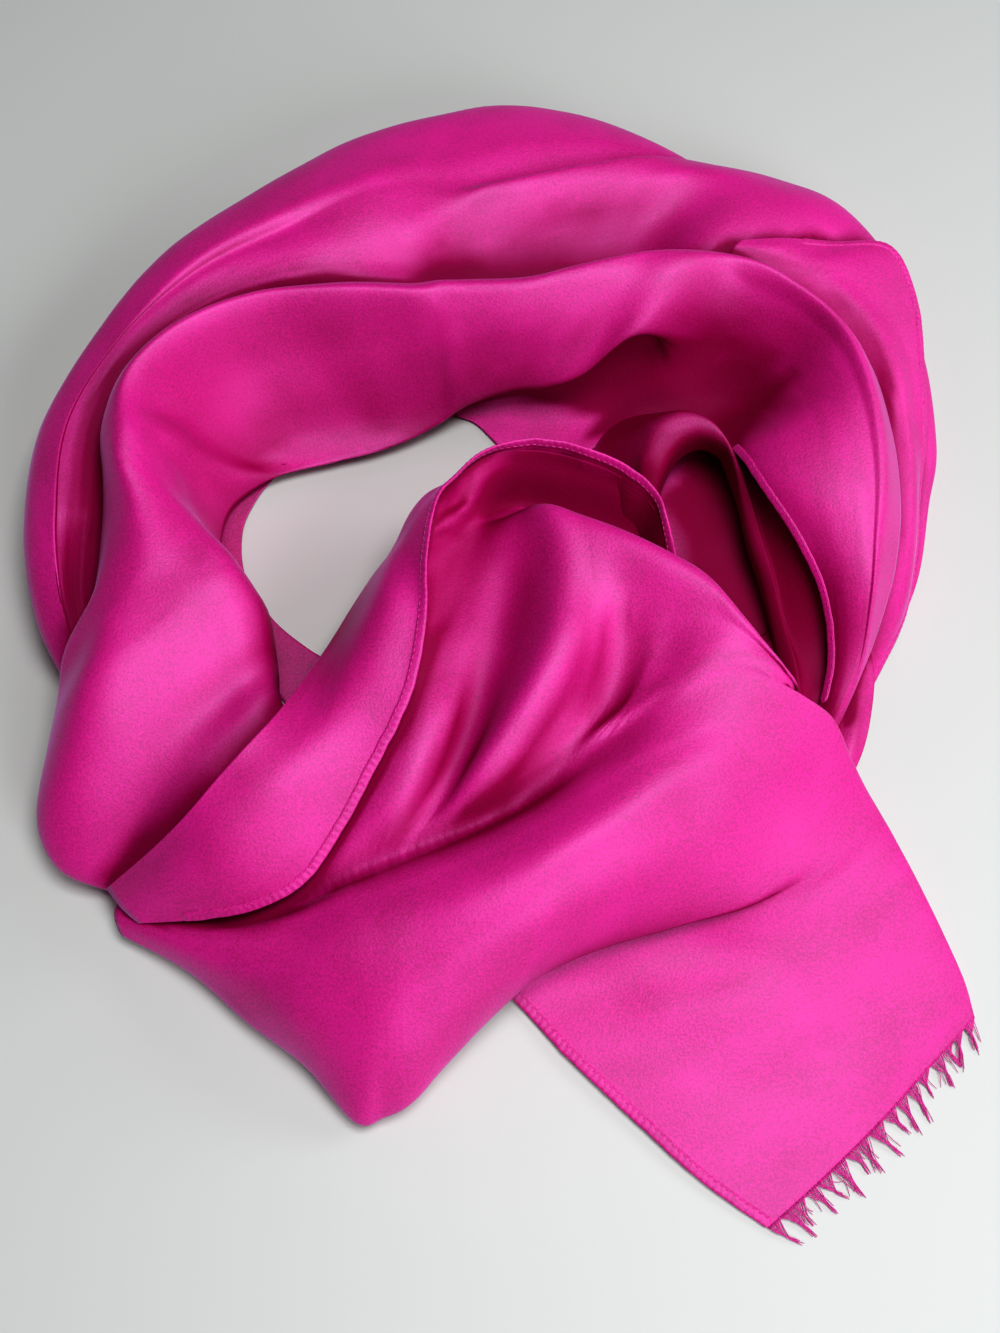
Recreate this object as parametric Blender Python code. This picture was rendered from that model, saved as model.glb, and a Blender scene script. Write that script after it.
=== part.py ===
"""Oblong silk scarf, wound loosely into a ring on a table, with one fringed end left lying out in front.

Each stretch of the wound scarf that shows is one cloth wall, lofted through a short table of sections. The tables are
in millimetres about the middle of the ring on the table top: X right, Y away from the viewer, Z up.
"""
import math

import bmesh
import bpy
import numpy as np

MM = 0.001
CLOTH = 1.2  # the wall that stands for the soft silk, with the air between its hidden plies
FLOOR_GAP = 0.9  # the middle of a wall lies nowhere nearer the table than this
FLOOR_THICKNESS = 2.4  # of the plies that lie flat on the table inside the right-hand hollow
HEAP_MIDDLE = (1.6, -33.6)  # x y of the middle of the whole heap's footprint, which is the model's origin

SILK = (0.86, 0.02, 0.42, 1.0)
SILK_SHADE = (0.55, 0.005, 0.22, 1.0)


def material(name, colour, roughness=0.55):
    made = bpy.data.materials.new(name)
    made.use_nodes = True
    shader = made.node_tree.nodes["Principled BSDF"]
    shader.inputs["Base Color"].default_value = colour
    shader.inputs["Roughness"].default_value = roughness
    shader.inputs["Metallic"].default_value = 0.0
    return made


def smooth_rows(rows, steps):
    """Catmull-Rom through the first axis of an array, with `steps` stretches between two rows."""
    rows = np.asarray(rows, float)
    first = 2 * rows[0] - rows[1]
    last = 2 * rows[-1] - rows[-2]
    padded = np.concatenate([first[None], rows, last[None]])
    out = []
    for index in range(len(rows) - 1):
        before, start, end, after = padded[index : index + 4]
        for step in range(steps):
            t = step / steps
            out.append(
                0.5 * (2 * start + (end - before) * t + (2 * before - 5 * start + 4 * end - after) * t**2
                       + (3 * start - before - 3 * end + after) * t**3)
            )
    out.append(rows[-1])
    return np.array(out)


def loft(rows, along, across):
    """A grid of points through a table's rows, smooth both ways and nowhere below the floor gap."""
    grid = smooth_rows(rows, along)
    grid = np.swapaxes(smooth_rows(np.swapaxes(grid, 0, 1), across), 0, 1)
    grid[:, :, 2] = np.maximum(grid[:, :, 2], FLOOR_GAP)
    return grid


def grid_normals(grid):
    along = np.gradient(grid, axis=0)
    across = np.gradient(grid, axis=1)
    normal = np.cross(across, along)
    return normal / np.linalg.norm(normal, axis=2, keepdims=True)


def closed_mesh(name, points, faces, mat):
    """One closed body from points in the tables' millimetres, its faces turned outwards."""
    mesh = bpy.data.meshes.new(name)
    builder = bmesh.new()
    placed = (np.asarray(points) - (*HEAP_MIDDLE, 0.0)) * MM
    verts = [builder.verts.new(tuple(point)) for point in placed.tolist()]
    for face in faces:
        builder.faces.new([verts[index] for index in face])
    bmesh.ops.recalc_face_normals(builder, faces=builder.faces)
    builder.to_mesh(mesh)
    builder.free()
    mesh.materials.append(mat)
    part = bpy.data.objects.new(name, mesh)
    bpy.context.scene.collection.objects.link(part)
    return part


def cloth_wall(name, grid, mat, thickness=CLOTH):
    """A wall of the given thickness about a grid of points."""
    lift = grid_normals(grid) * thickness / 2
    count_u, count_v = grid.shape[:2]
    top = (grid + lift).reshape(-1, 3)
    under = (grid - lift).reshape(-1, 3)
    offset = len(top)
    faces = []
    for u in range(count_u - 1):
        for v in range(count_v - 1):
            a, b = u * count_v + v, u * count_v + v + 1
            c, d = b + count_v, a + count_v
            faces.append((a, b, c, d))
            faces.append((offset + d, offset + c, offset + b, offset + a))
    rim = [(u, 0) for u in range(count_u)]
    rim += [(count_u - 1, v) for v in range(1, count_v)]
    rim += [(u, count_v - 1) for u in range(count_u - 2, -1, -1)]
    rim += [(0, v) for v in range(count_v - 2, 0, -1)]
    rim = [u * count_v + v for u, v in rim]
    for here, there in zip(rim, rim[1:] + rim[:1]):
        faces.append((here, there, offset + there, offset + here))
    return closed_mesh(name, np.concatenate([top, under]), faces, mat)


def around(bearing, radius, height):
    """The point at a bearing, in degrees anticlockwise from the right, about the middle of the ring."""
    turn = math.radians(bearing)
    return (radius * math.cos(turn), radius * math.sin(turn), height)


def ring_rows(table):
    """Rows of (bearing, then a radius and a height for each rail) as points."""
    return [
        [around(row[0], row[column], row[column + 1]) for column in range(1, len(row), 2)]
        for row in table
    ]


def hidden_layers(mat):
    """The wound cloth that nothing shows of: one rounded ring that the outer stretches lie round, flat underneath."""
    # bearing, floor edge, inner foot r z, inner shoulder r z, crown r z, outer shoulder r z, outer foot
    table = [
        (0, 60, 98, 3, 107, 20, 124, 30, 137, 16, 141),
        (10, 57, 92, 3, 103, 20, 124, 32, 140, 18, 148),
        (20, 54, 88, 3, 101, 18, 121, 29, 142, 17, 153),
        (30, 56, 84, 3, 97, 17, 118, 27, 148, 18, 165),
        (38, 62, 80, 4, 92, 15, 112, 25, 150, 20, 168),
        (48, 72, 74, 6, 82, 15, 104, 26, 152, 23, 169),
        (60, 67, 68, 8, 76, 16, 98, 26, 150, 24, 168),
        (80, 66, 67, 12, 71, 22, 104, 32, 158, 26, 168),
        (100, 66, 67, 12, 71, 22, 102, 32, 148, 26, 160),
        (120, 66, 68, 12, 74, 22, 104, 32, 136, 28, 146),
        (140, 80, 83, 12, 90, 22, 112, 28, 138, 26, 147),
        (160, 103, 105, 12, 110, 21, 120, 24, 142, 22, 148),
        (180, 104, 105, 12, 109, 23, 118, 25, 141, 18, 150),
        (199, 94.3, 95.3, 14, 100, 25, 112, 28, 129, 13, 134),
        (208, 94.3, 95.3, 14, 101, 25, 114, 28, 132, 11, 138),
        (216, 98, 99, 13, 103, 24, 126, 30, 155, 19, 163),
        (230, 112, 113, 3, 115, 5, 135, 8, 153, 5, 159),
        (245, 80, 82, 9, 88, 17, 122, 28, 157, 17, 169),
        (258, 56, 58, 12, 66, 23, 108, 28, 151, 25, 165),
        (270, 46, 48, 14, 56, 25, 104, 29, 134, 27, 142),
        (290, 46, 48, 16, 56, 29, 98, 33, 132, 30, 141),
        (308, 58, 64, 10, 72, 26, 104, 34, 128, 26, 138),
        (316, 64, 70, 6, 80, 22, 100, 26, 114, 14, 121),
        (324, 68, 78, 3, 86, 14, 94, 17, 102, 8, 107),
        (333, 66, 86, 3, 95, 12, 110, 17, 123, 7, 128),
        (342, 64, 96, 3, 104, 12, 117, 17, 128, 10, 133),
        (352, 62, 98, 3, 106, 17, 122, 25, 133, 13, 138),
    ]
    rows = []
    for bearing, floor_in, foot_r, foot_z, in_r, in_z, crown_r, crown_z, out_r, out_z, foot_out in table:
        rows.append([
            around(bearing, floor_in, 0.0),
            around(bearing, floor_in, FLOOR_THICKNESS),
            around(bearing, foot_r, foot_z),
            around(bearing, in_r, in_z),
            around(bearing, crown_r, crown_z),
            around(bearing, out_r, out_z),
            around(bearing, foot_out + 1, out_z * 0.45),
            around(bearing, foot_out, 0.0),
        ])
    closed = np.array(rows[-1:] + rows + rows[:2])
    ring = smooth_rows(closed, 2)[2 : 2 * (len(rows) + 1)]
    ring[:, :, 2] = np.maximum(ring[:, :, 2], 0.0)
    count_u, count_v = ring.shape[:2]
    faces = []
    for u in range(count_u):
        following = (u + 1) % count_u
        for v in range(count_v):
            beside = (v + 1) % count_v
            faces.append((u * count_v + v, u * count_v + beside, following * count_v + beside, following * count_v + v))
    return closed_mesh("hidden_layers", ring.reshape(-1, 3), faces, mat)


def outer_back(mat):
    """The outer turn: it rises from the table, rolls over and goes down behind the inner collar."""
    # bearing, foot r z, belly r z, crown r z, valley r z, tuck r z
    table = [
        (42, 180, 0.6, 182, 12, 163, 27, 142, 30, 136, 26.5),
        (56, 175, 0.6, 178, 16, 157, 32, 117, 35, 111, 29),
        (70, 175, 0.6, 180, 25, 150, 40, 97, 38, 91, 32),
        (85, 174, 0.6, 180, 28, 142, 46, 87, 40, 82, 33),
        (98, 167, 0.6, 173, 28, 134, 49, 85, 41, 80, 33),
        (110, 160, 0.6, 166, 28, 128, 50, 88, 43, 83, 35),
        (125, 152, 0.6, 158, 27, 126, 50, 99, 45, 94, 37),
        (140, 153, 0.6, 160, 25, 137, 47, 117, 44, 112, 36),
        (155, 154, 0.6, 160, 23, 145, 43, 132, 40, 128, 34),
        (170, 157, 0.6, 164, 20, 150, 40, 137, 36, 133, 31),
        (184, 156, 0.6, 162, 19, 149, 37, 136, 32, 132, 27),
        (196, 153, 0.6, 160, 15, 150, 30, 141, 26, 137, 21),
        (206, 151, 0.6, 156, 6, 152, 12, 147, 10, 143, 6),
    ]
    return cloth_wall("outer_back", loft(ring_rows(table), 2, 2), mat)


def inner_collar(mat):
    """The inner turn: a standing face round the far side of the ring, its lower edge free above the table."""
    # bearing, back r z, ridge r z, brow r z, face r z, low r z, lip r z
    table = [
        (40, 131, 51, 127, 56, 122, 58, 116, 58, 111, 57, 106, 55),
        (48, 121, 47, 117, 55, 110, 58, 100, 56, 88, 50, 79, 43),
        (57, 108, 46, 104, 54, 97, 57, 85, 52, 74, 40, 64, 28),
        (68, 94, 45, 89, 53, 81, 56, 71, 47, 62, 32, 57, 21),
        (80, 84, 44, 79, 52, 72, 55, 65, 44, 58, 28, 55, 17),
        (95, 82, 44, 77, 52, 70, 54, 63, 42, 56, 25, 52, 13),
        (110, 84, 45, 80, 52, 73, 54, 64, 40, 55, 22, 49, 9),
        (125, 95, 47, 91, 53, 84, 54, 71, 38, 57, 18, 49, 7),
        (140, 114, 46, 110, 52, 103, 54, 86, 36, 67, 16, 54, 6),
        (152, 128, 42, 124, 52, 117, 54, 99, 34, 80, 14, 65, 5.5),
        (163, 134, 42, 131, 52, 125, 54, 109, 34, 93, 14, 82, 5.5),
    ]
    return cloth_wall("inner_collar", loft(ring_rows(table), 2, 2), mat)


def left_drop(mat):
    """The collar's turn goes on down the left: it crosses the outer turn and spreads to the near corner."""
    # bearing, back r z, left r z, crown r z, mid r z, edge r z, lip r z
    table = [
        (163.6, 134, 42, 131, 52, 125, 54, 109, 34, 93, 14, 82, 5.5),
        (172, 136, 39, 132, 50, 125, 56, 119, 53, 113, 42, 93, 6),
        (180, 132, 38, 128, 49, 122, 56, 114, 52, 107, 38, 97, 6),
        (188, 132, 36, 126, 46, 117, 54, 106, 50, 99, 38, 96, 6),
        (198, 139, 33, 134, 43, 118, 52, 103, 50, 91, 42, 91, 6),
        (203, 152, 25, 149, 34, 128, 48, 105, 50, 89, 42, 89, 6),
        (207, 160, 13, 158, 26, 138, 45, 107, 49, 88, 41, 89, 6),
        (212, 165, 0.8, 170, 20, 150, 43, 115, 46, 88, 39, 90, 6),
        (218, 178, 0.8, 184, 18, 162, 37, 125, 41, 92, 37, 94, 6),
        (223, 182, 0.8, 188, 13, 168, 27, 130, 35, 97, 33, 99, 6),
        (228, 176, 0.8, 181, 8.5, 164, 19, 133, 34, 103, 34, 106, 8),
        (233, 168, 0.8, 172, 5, 158, 15, 135, 32, 107, 31, 109, 8),
    ]
    return cloth_wall("left_drop", loft(ring_rows(table), 2, 2), mat)


def upper_flap(mat):
    """A soft fold of the outer turn that lies over it at the upper right and falls to the table outside."""
    # bearing, outer r z, edge r z, shoulder r z, crown r z, inner r z
    table = [
        (97, 118, 49.2, 116, 49.5, 112, 49.3, 108, 48.8, 105, 48.4),
        (91, 123, 49.3, 120, 50.1, 113, 50.0, 104, 48.0, 93, 44.7),
        (83, 130, 48.4, 126, 49.6, 117, 50.0, 104, 47.5, 89, 43.8),
        (75, 142, 45.6, 138, 47.4, 127, 48.8, 111, 47.2, 95, 43),
        (67, 158, 41.0, 154, 43.5, 142, 46.2, 122, 46.2, 104, 43),
        (59, 177, 28, 171, 35, 157, 42.5, 134, 44.5, 115, 42),
        (52, 182, 1.0, 187, 23, 170, 39, 145, 43.5, 123, 41),
        (44, 186, 1.0, 192, 24, 175, 39, 150, 41, 132, 38),
        (35, 187, 1.0, 193, 21, 180, 32.5, 156, 36, 140, 32),
        (24, 177, 1.0, 182, 16, 172, 25, 157, 29, 144, 26),
        (12, 164, 1.0, 168, 11, 163, 16, 156, 18, 147, 17),
        (4, 157, 1.0, 160, 6, 157, 8, 153, 9, 147, 8),
    ]
    return cloth_wall("upper_flap", loft(ring_rows(table), 2, 2), mat)


def right_outer(mat):
    """The thin hemmed panel at the right, between the ridge and its own hem, which runs down to the table."""
    # bearing, inner r z, middle r z, hem r z
    table = [
        (47, 129, 45, 132, 46.5, 136, 46.5),
        (43, 132, 44, 141, 46, 150, 44.5),
        (39, 135, 42, 150, 43.4, 166, 39.8),
        (35, 138, 40, 160, 42, 181, 36),
        (28, 141, 37, 160, 38, 178, 31),
        (20, 142, 34, 157, 35, 167, 27),
        (12, 142, 31, 153, 31, 160, 23),
        (4, 141, 28, 151, 26, 156, 15),
        (-4, 140, 24, 150, 20, 154, 8),
        (-12, 140, 18, 149, 12, 152, 2.5),
        (-20, 140, 8, 144, 5, 147, 1.5),
    ]
    return cloth_wall("right_outer", loft(ring_rows(table), 2, 2), mat)


def right_inner(mat):
    """The inside of the ring on the right: it starts low behind the collar and climbs to the ridge."""
    # bearing, back r z, ridge r z, high r z, middle r z, low r z, foot r z
    table = [
        (106, 60, 17, 59, 13, 57, 9, 54, 6, 52, 3, 50, 0.8),
        (97, 61, 20, 59, 16, 56, 11, 53, 6, 48, 2.5, 42, 0.8),
        (85, 62, 24.6, 60.5, 20.5, 58, 15, 54, 8, 47, 3, 36, 0.8),
        (68, 66, 30.6, 64.5, 27, 61, 20, 57, 12, 48, 4, 34, 0.8),
        (56, 80, 37, 77, 34, 71, 26, 64, 16, 53, 6, 38, 1.0),
        (46, 102, 43, 98, 41, 87, 33, 76, 22, 62, 10, 46, 3.5),
        (38, 128, 47, 123, 52.6, 110, 45, 96, 33, 81, 20, 66, 9),
        (30, 138, 43, 134, 53, 119, 47, 104, 36, 91, 26, 82, 18),
        (20, 143, 39, 140, 52, 122, 46, 106, 37, 95, 31, 90, 26),
        (10, 142, 35, 139, 51, 122, 46, 108, 40, 97, 35, 91, 32),
        (0, 141, 31, 137, 47, 124, 44, 111, 39, 102, 34, 96, 30),
        (-10, 141, 26, 137, 42, 128, 40, 119, 35, 113, 31, 107, 27),
        (-18, 140.5, 22, 138, 35, 133, 34, 128, 30, 124, 27, 120, 24),
        (-26, 141, 16, 140, 20, 138, 21, 135, 21, 132, 20, 129, 18),
        (-34, 142, 10, 141, 12, 140, 13, 139, 13, 138, 13, 137, 12),
    ]
    return cloth_wall("right_inner", loft(ring_rows(table), 2, 1), mat)


def lower_turn(mat):
    """The lowest turn of the cloth, flat on the table under the left side; only its inner edge shows."""
    # bearing, inner r z, middle r z, outer r z
    table = [
        (160, 83, 0.8, 89, 1.1, 96, 0.8),
        (168, 87, 0.8, 93, 1.1, 98, 0.8),
        (178, 90, 0.8, 96, 1.1, 101, 0.8),
        (190, 89, 0.8, 91, 1.1, 93, 0.8),
        (202, 84, 0.8, 88, 1.1, 93, 0.8),
        (212, 79, 0.8, 86, 1.1, 94, 0.8),
        (222, 74, 0.8, 85, 1.1, 96, 0.8),
    ]
    return cloth_wall("lower_turn", loft(ring_rows(table), 1, 2), mat)


def cup_wall(mat):
    """The hemmed band that comes back over the near corner and stands up as the wall of the cup."""
    # edge x y z, middle x y z, rim x y z, from the near corner to the far side of the cup
    table = [
        [(-122, -135, 10.6), (-116, -142, 13.2), (-110, -147, 13)],
        [(-104, -126, 25.5), (-96, -138, 29), (-88, -148, 24)],
        [(-93, -118, 33.5), (-82, -133, 37), (-70, -146, 29)],
        [(-83, -107, 38.5), (-70, -124, 42), (-55, -139, 33)],
        [(-74, -97, 41), (-60, -112, 45), (-43, -123, 40)],
        [(-66, -84, 37), (-51, -97, 45), (-35, -109, 46.4)],
        [(-55, -55, 18), (-43, -75, 38), (-27, -94, 50.6)],
        [(-47, -32, 9), (-37, -55, 36), (-22, -81, 54)],
        [(-40, -18, 6), (-33, -40, 34), (-19, -62, 58)],
        [(-33, -6, 5), (-27, -23, 34), (-19, -40, 60)],
        [(-27, 5, 4), (-23, -7, 33), (-16, -19, 60)],
        [(-19, 14, 4), (-16, 3, 32), (-10, -9, 58)],
        [(-8, 24, 4), (-6, 12, 30), (-2, 1, 56)],
        [(5, 16, 5), (7, 10, 30), (9, 7, 54)],
        [(20, 4, 7), (20, 5, 30), (20, 9, 52)],
        [(31, -3, 9), (32, 1, 30), (33, 7, 50)],
        [(42, -9, 11), (44, -4, 29), (47, 2, 47)],
        [(50, -17, 13), (53, -13, 29), (57, -7, 45)],
        [(54, -26, 15), (57, -24, 29), (61, -20, 43)],
    ]
    return cloth_wall("cup_wall", loft(table, 1, 4), mat)


# The sash in front: each row is one line of its fanned pleats, from the ridge at the right down to the crease.
# fall x y z (down inside the ring), back x y z, ridge, high, middle, low, crease x y z
PLEAT_ROWS = [
    [(-6, -1, 38), (-8, -5, 46), (-12, -14, 46), (-17, -38, 46), (-21, -62, 47), (-34, -98, 44), (-62, -140, 27)],
    [(4, 3, 36), (2, -1, 46), (1, -15, 51), (-5, -40, 50), (-14, -66, 50), (-27, -108, 44.6), (-46, -136, 32)],
    [(13, 4, 32), (10, 1, 44), (8, -17, 54), (2, -41, 48), (-6, -70, 42), (-17, -108, 40), (-36, -133, 33.5)],
    [(20, -2, 27), (17, -6, 43), (14, -19, 56), (12, -43, 52), (4, -72, 46), (-8, -108, 41), (-26, -129, 34)],
    [(30, -10, 25), (27, -14, 45), (24, -22, 58), (26, -46, 57), (19, -76, 55), (3, -104, 46), (-14, -125, 36)],
    [(44, -19, 25), (40, -22, 47), (36, -29, 60), (36, -52, 56), (31, -78, 50), (16, -102, 43), (0, -120, 37)],
    [(58, -32, 26), (54, -30, 49), (50, -36, 62), (46, -58, 53), (40, -80, 46), (28, -98, 43), (14, -113, 39)],
    [(70, -33, 24), (68, -38, 50), (64, -44, 62), (58, -60, 56), (50, -76, 51), (40, -90, 48), (28, -104, 43)],
    [(86, -44, 24), (84, -49, 48), (80, -56, 60), (72, -64, 59), (64, -73, 56), (54, -84, 53), (44, -94, 48)],
    [(97, -56, 22), (96, -60, 45), (92, -66, 56), (86, -70, 58), (78, -76, 57), (69, -82, 56), (60, -87, 53)],
]


def front_wrap(mat):
    """The pleated inside of the sash, from its ridge down to the crease."""
    return cloth_wall("front_wrap", loft(PLEAT_ROWS, 2, 2), mat)


def front_roll(mat):
    """The sash rises again from the crease and rolls over towards the viewer."""
    # top x y z, rise, crown, belly, brow, tuck
    table = [
        [(-121, -139, 6), (-120, -141, 7.5), (-119, -143, 8), (-118, -146, 7), (-117, -148, 5), (-113, -146, 2.5)],
        [(-100, -140, 12), (-98, -149, 16), (-96, -155, 16), (-95, -159, 12), (-94, -161, 6), (-91, -158, 2.5)],
        [(-80, -142, 18), (-78, -152, 24), (-76, -163, 23), (-75, -171, 16), (-74, -177, 7), (-70, -173, 2.5)],
        [(-60, -139, 24), (-59, -150, 30), (-57, -165, 32), (-56, -181, 24), (-56, -190, 8), (-52, -184, 2.5)],
        [(-42, -136.4, 32), (-40, -146, 36), (-38, -161, 39), (-37, -184, 30), (-39, -206, 7), (-36, -198, 2.5)],
        [(-25, -130.2, 35), (-22, -141, 41), (-19, -156, 44), (-18, -177, 36), (-22, -201, 10), (-22, -191, 4)],
        [(-7, -124, 37), (-3, -134, 44), (2, -149, 49), (4, -166, 40), (-3, -181, 14), (-6, -172, 8)],
        [(12, -115.4, 39), (16, -125, 47), (20, -139, 52), (22, -153, 42), (14, -166, 18), (10, -157, 11)],
        [(29, -105, 43.5), (34, -115, 50), (40, -127, 54), (42, -143, 43), (35, -157, 19), (31, -148, 13)],
        [(46, -94.6, 48.5), (51, -105, 53), (58, -116, 54), (62, -133, 42), (62, -149, 20), (60, -141, 15)],
        [(61, -88, 53.5), (68, -97, 54), (76, -106, 52), (83, -122, 40), (86, -142, 21), (85, -135, 18)],
        [(79.5, -76.9, 57), (86, -87, 54), (94, -98, 48), (100, -113, 38), (104, -131, 26), (104, -127, 24)],
        [(93.3, -66.6, 55.3), (101, -78, 50), (108, -89, 44), (113, -100, 37), (118, -113, 29), (119, -112, 28)],
        [(96.5, -66, 42), (103, -77, 38), (110, -88, 33), (115, -99, 28), (118.5, -108, 24.5), (119, -109, 24)],
        [(95.5, -67, 22), (102, -78, 18), (109, -89, 14), (113, -99, 11), (116, -106, 9), (117, -108, 8)],
    ]
    return cloth_wall("front_roll", loft(table, 2, 2), mat)


def fringed_end(mat):
    """The end of the scarf: it comes out from under the roll and lies out on the table."""
    # left hem x y z, then three lines across, right edge x y z, fall x y z
    table = [
        [(-8, -150, 2), (22, -147, 3), (54, -137, 6), (88, -127, 12), (121, -114, 27.6), (122, -114, 10)],
        [(6, -167, 1.8), (34, -163, 3.5), (64, -154, 8), (98, -141, 14), (128.5, -122, 21), (129.5, -121, 8)],
        [(25, -186, 2.2), (52, -180, 5), (80, -168, 8), (110, -154, 11), (136, -135, 14), (137, -134, 5)],
        [(45, -205, 2.2), (70, -195, 4.5), (95, -182, 6), (121, -168, 7), (145, -151, 8), (146, -150, 2.5)],
        [(65, -223, 1.8), (87, -210, 3), (108, -197, 3.5), (130, -182, 4.5), (151, -166, 4.5), (152, -165, 1.2)],
        [(85, -237, 1.0), (102, -223, 1.0), (119, -208, 1.0), (136, -192, 1.2), (152, -176, 1.6), (153.5, -175, 0.9)],
    ]
    return cloth_wall("fringed_end", loft(table, 2, 2), mat)


def fringe(mat):
    """The reach of the fringe: the warp threads left free past the last weft, flat on the table."""
    # root x y z, tip x y z
    table = [
        [(85.3, -237.8, 1.0), (91, -247, 0.8)],
        [(102.3, -223.6, 1.0), (111, -234, 0.8)],
        [(119.4, -208.5, 1.0), (128, -219, 0.8)],
        [(136.4, -192.5, 1.2), (146, -202, 0.8)],
        [(153.5, -175.4, 1.4), (161, -182, 0.8)],
    ]
    return cloth_wall("fringe", loft(table, 3, 2), mat, thickness=1.0)


def inner_arch(mat):
    """A small fold that arches over the dark hollow inside the ring."""
    # outer x y z, crest x y z, inner x y z, deep x y z
    table = [
        [(52, 18, 8), (55, 14, 13), (60, 11, 11), (62, 12, 3.2)],
        [(52, 26, 16), (57, 21, 21), (63, 18, 18), (65, 20, 8)],
        [(58, 35, 23), (63, 29, 27), (68, 25, 23), (70, 27, 12)],
        [(69, 38, 27), (73, 31, 30), (76, 27, 26), (77, 30, 14)],
        [(80, 33, 28), (82, 27, 31), (84, 22, 27), (84, 26, 15)],
        [(88, 20, 26), (88, 16, 29), (88, 12, 25), (88, 16, 13)],
        [(94, 6, 22), (92, 4, 24), (90, 2, 20), (91, 5, 10)],
        [(97, -8, 16), (95, -9, 18), (92, -10, 15), (93, -8, 7)],
    ]
    return cloth_wall("inner_arch", loft(table, 2, 1), mat)


def small_tail(mat):
    """The end of the inside turn, which hangs to the table past the sash's edge."""
    # left x y z, middle x y z, right x y z
    table = [
        [(121, -50, 14), (126, -50, 16), (131, -49, 15.4)],
        [(120, -62, 12.4), (126, -62, 14.2), (132, -61, 13.4)],
        [(121, -74, 6.5), (126, -74, 8), (131, -73, 7)],
        [(119, -84, 3), (124, -85, 5), (128, -84, 4)],
        [(119, -91, 1.5), (122, -92, 2.0), (124, -92, 1.5)],
    ]
    return cloth_wall("small_tail", loft(table, 2, 2), mat)


def build():
    for old in list(bpy.data.objects):
        bpy.data.objects.remove(old, do_unlink=True)
    silk = material("silk", SILK)
    shade = material("silk_in_shade", SILK_SHADE, roughness=0.7)
    hidden_layers(shade)
    outer_back(silk)
    upper_flap(silk)
    right_outer(silk)
    inner_collar(silk)
    right_inner(silk)
    left_drop(silk)
    lower_turn(shade)
    inner_arch(shade)
    small_tail(silk)
    cup_wall(silk)
    front_wrap(silk)
    front_roll(silk)
    fringed_end(silk)
    fringe(silk)


build()
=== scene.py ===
"""Looks of an oblong silk scarf: wound loosely into a ring on a table, one fringed end lying out in front.

The tables give the cloth in millimetres about the middle of the ring on the table top, as the CAD model's source
does: X right, Y away from the viewer, Z up. HEAP_MIDDLE, the middle of the whole heap's footprint, is the origin.
"""
import math

import bpy
import numpy as np
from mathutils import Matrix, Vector, noise
from mathutils.bvhtree import BVHTree


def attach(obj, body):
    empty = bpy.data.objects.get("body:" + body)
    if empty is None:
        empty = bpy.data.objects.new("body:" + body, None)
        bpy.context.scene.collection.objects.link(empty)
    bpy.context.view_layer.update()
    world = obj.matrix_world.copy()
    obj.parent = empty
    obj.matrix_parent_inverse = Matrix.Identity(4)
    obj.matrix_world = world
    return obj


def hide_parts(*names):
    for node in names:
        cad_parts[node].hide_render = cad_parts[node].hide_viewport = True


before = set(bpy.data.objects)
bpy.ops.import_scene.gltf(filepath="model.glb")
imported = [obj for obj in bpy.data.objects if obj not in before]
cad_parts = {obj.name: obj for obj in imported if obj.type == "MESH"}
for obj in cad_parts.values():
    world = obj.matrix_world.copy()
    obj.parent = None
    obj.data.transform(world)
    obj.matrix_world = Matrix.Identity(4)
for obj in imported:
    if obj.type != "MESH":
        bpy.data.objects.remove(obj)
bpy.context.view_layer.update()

bpy.ops.object.select_all(action="DESELECT")

# ----------------------------------------------------------------------
# The silk: a light sand-washed crepe, piece-dyed a hot magenta. Its yarns are twisted hard, so the face has a fine
# pebbled grain. Washing leaves faint streaks along the warp, and a soft sheen that goes violet at the ridges.
MAGENTA = (0.74, 0.004, 0.29, 1.0)
DEEP_MAGENTA = (0.50, 0.0, 0.17, 1.0)
# Darker copies of the dye: painted shade for the pieces that lie deep inside the heap.
PAINTED_SHADE_MAGENTA = (0.50, 0.0, 0.16, 1.0)
PAINTED_SHADE_DEEP = (0.30, 0.0, 0.08, 1.0)
# Painted shade: the dark crimson that the dye is pulled toward deep in the folds.
PAINTED_SHADE_CRIMSON = (0.24, 0.0, 0.045, 1.0)
THROUGH_SILK = (0.9, 0.004, 0.3, 1.0)
MIX_FROM, MIX_TO, MIX_RESULT = 6, 7, 2  # the colour sockets of a Mix node


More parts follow.
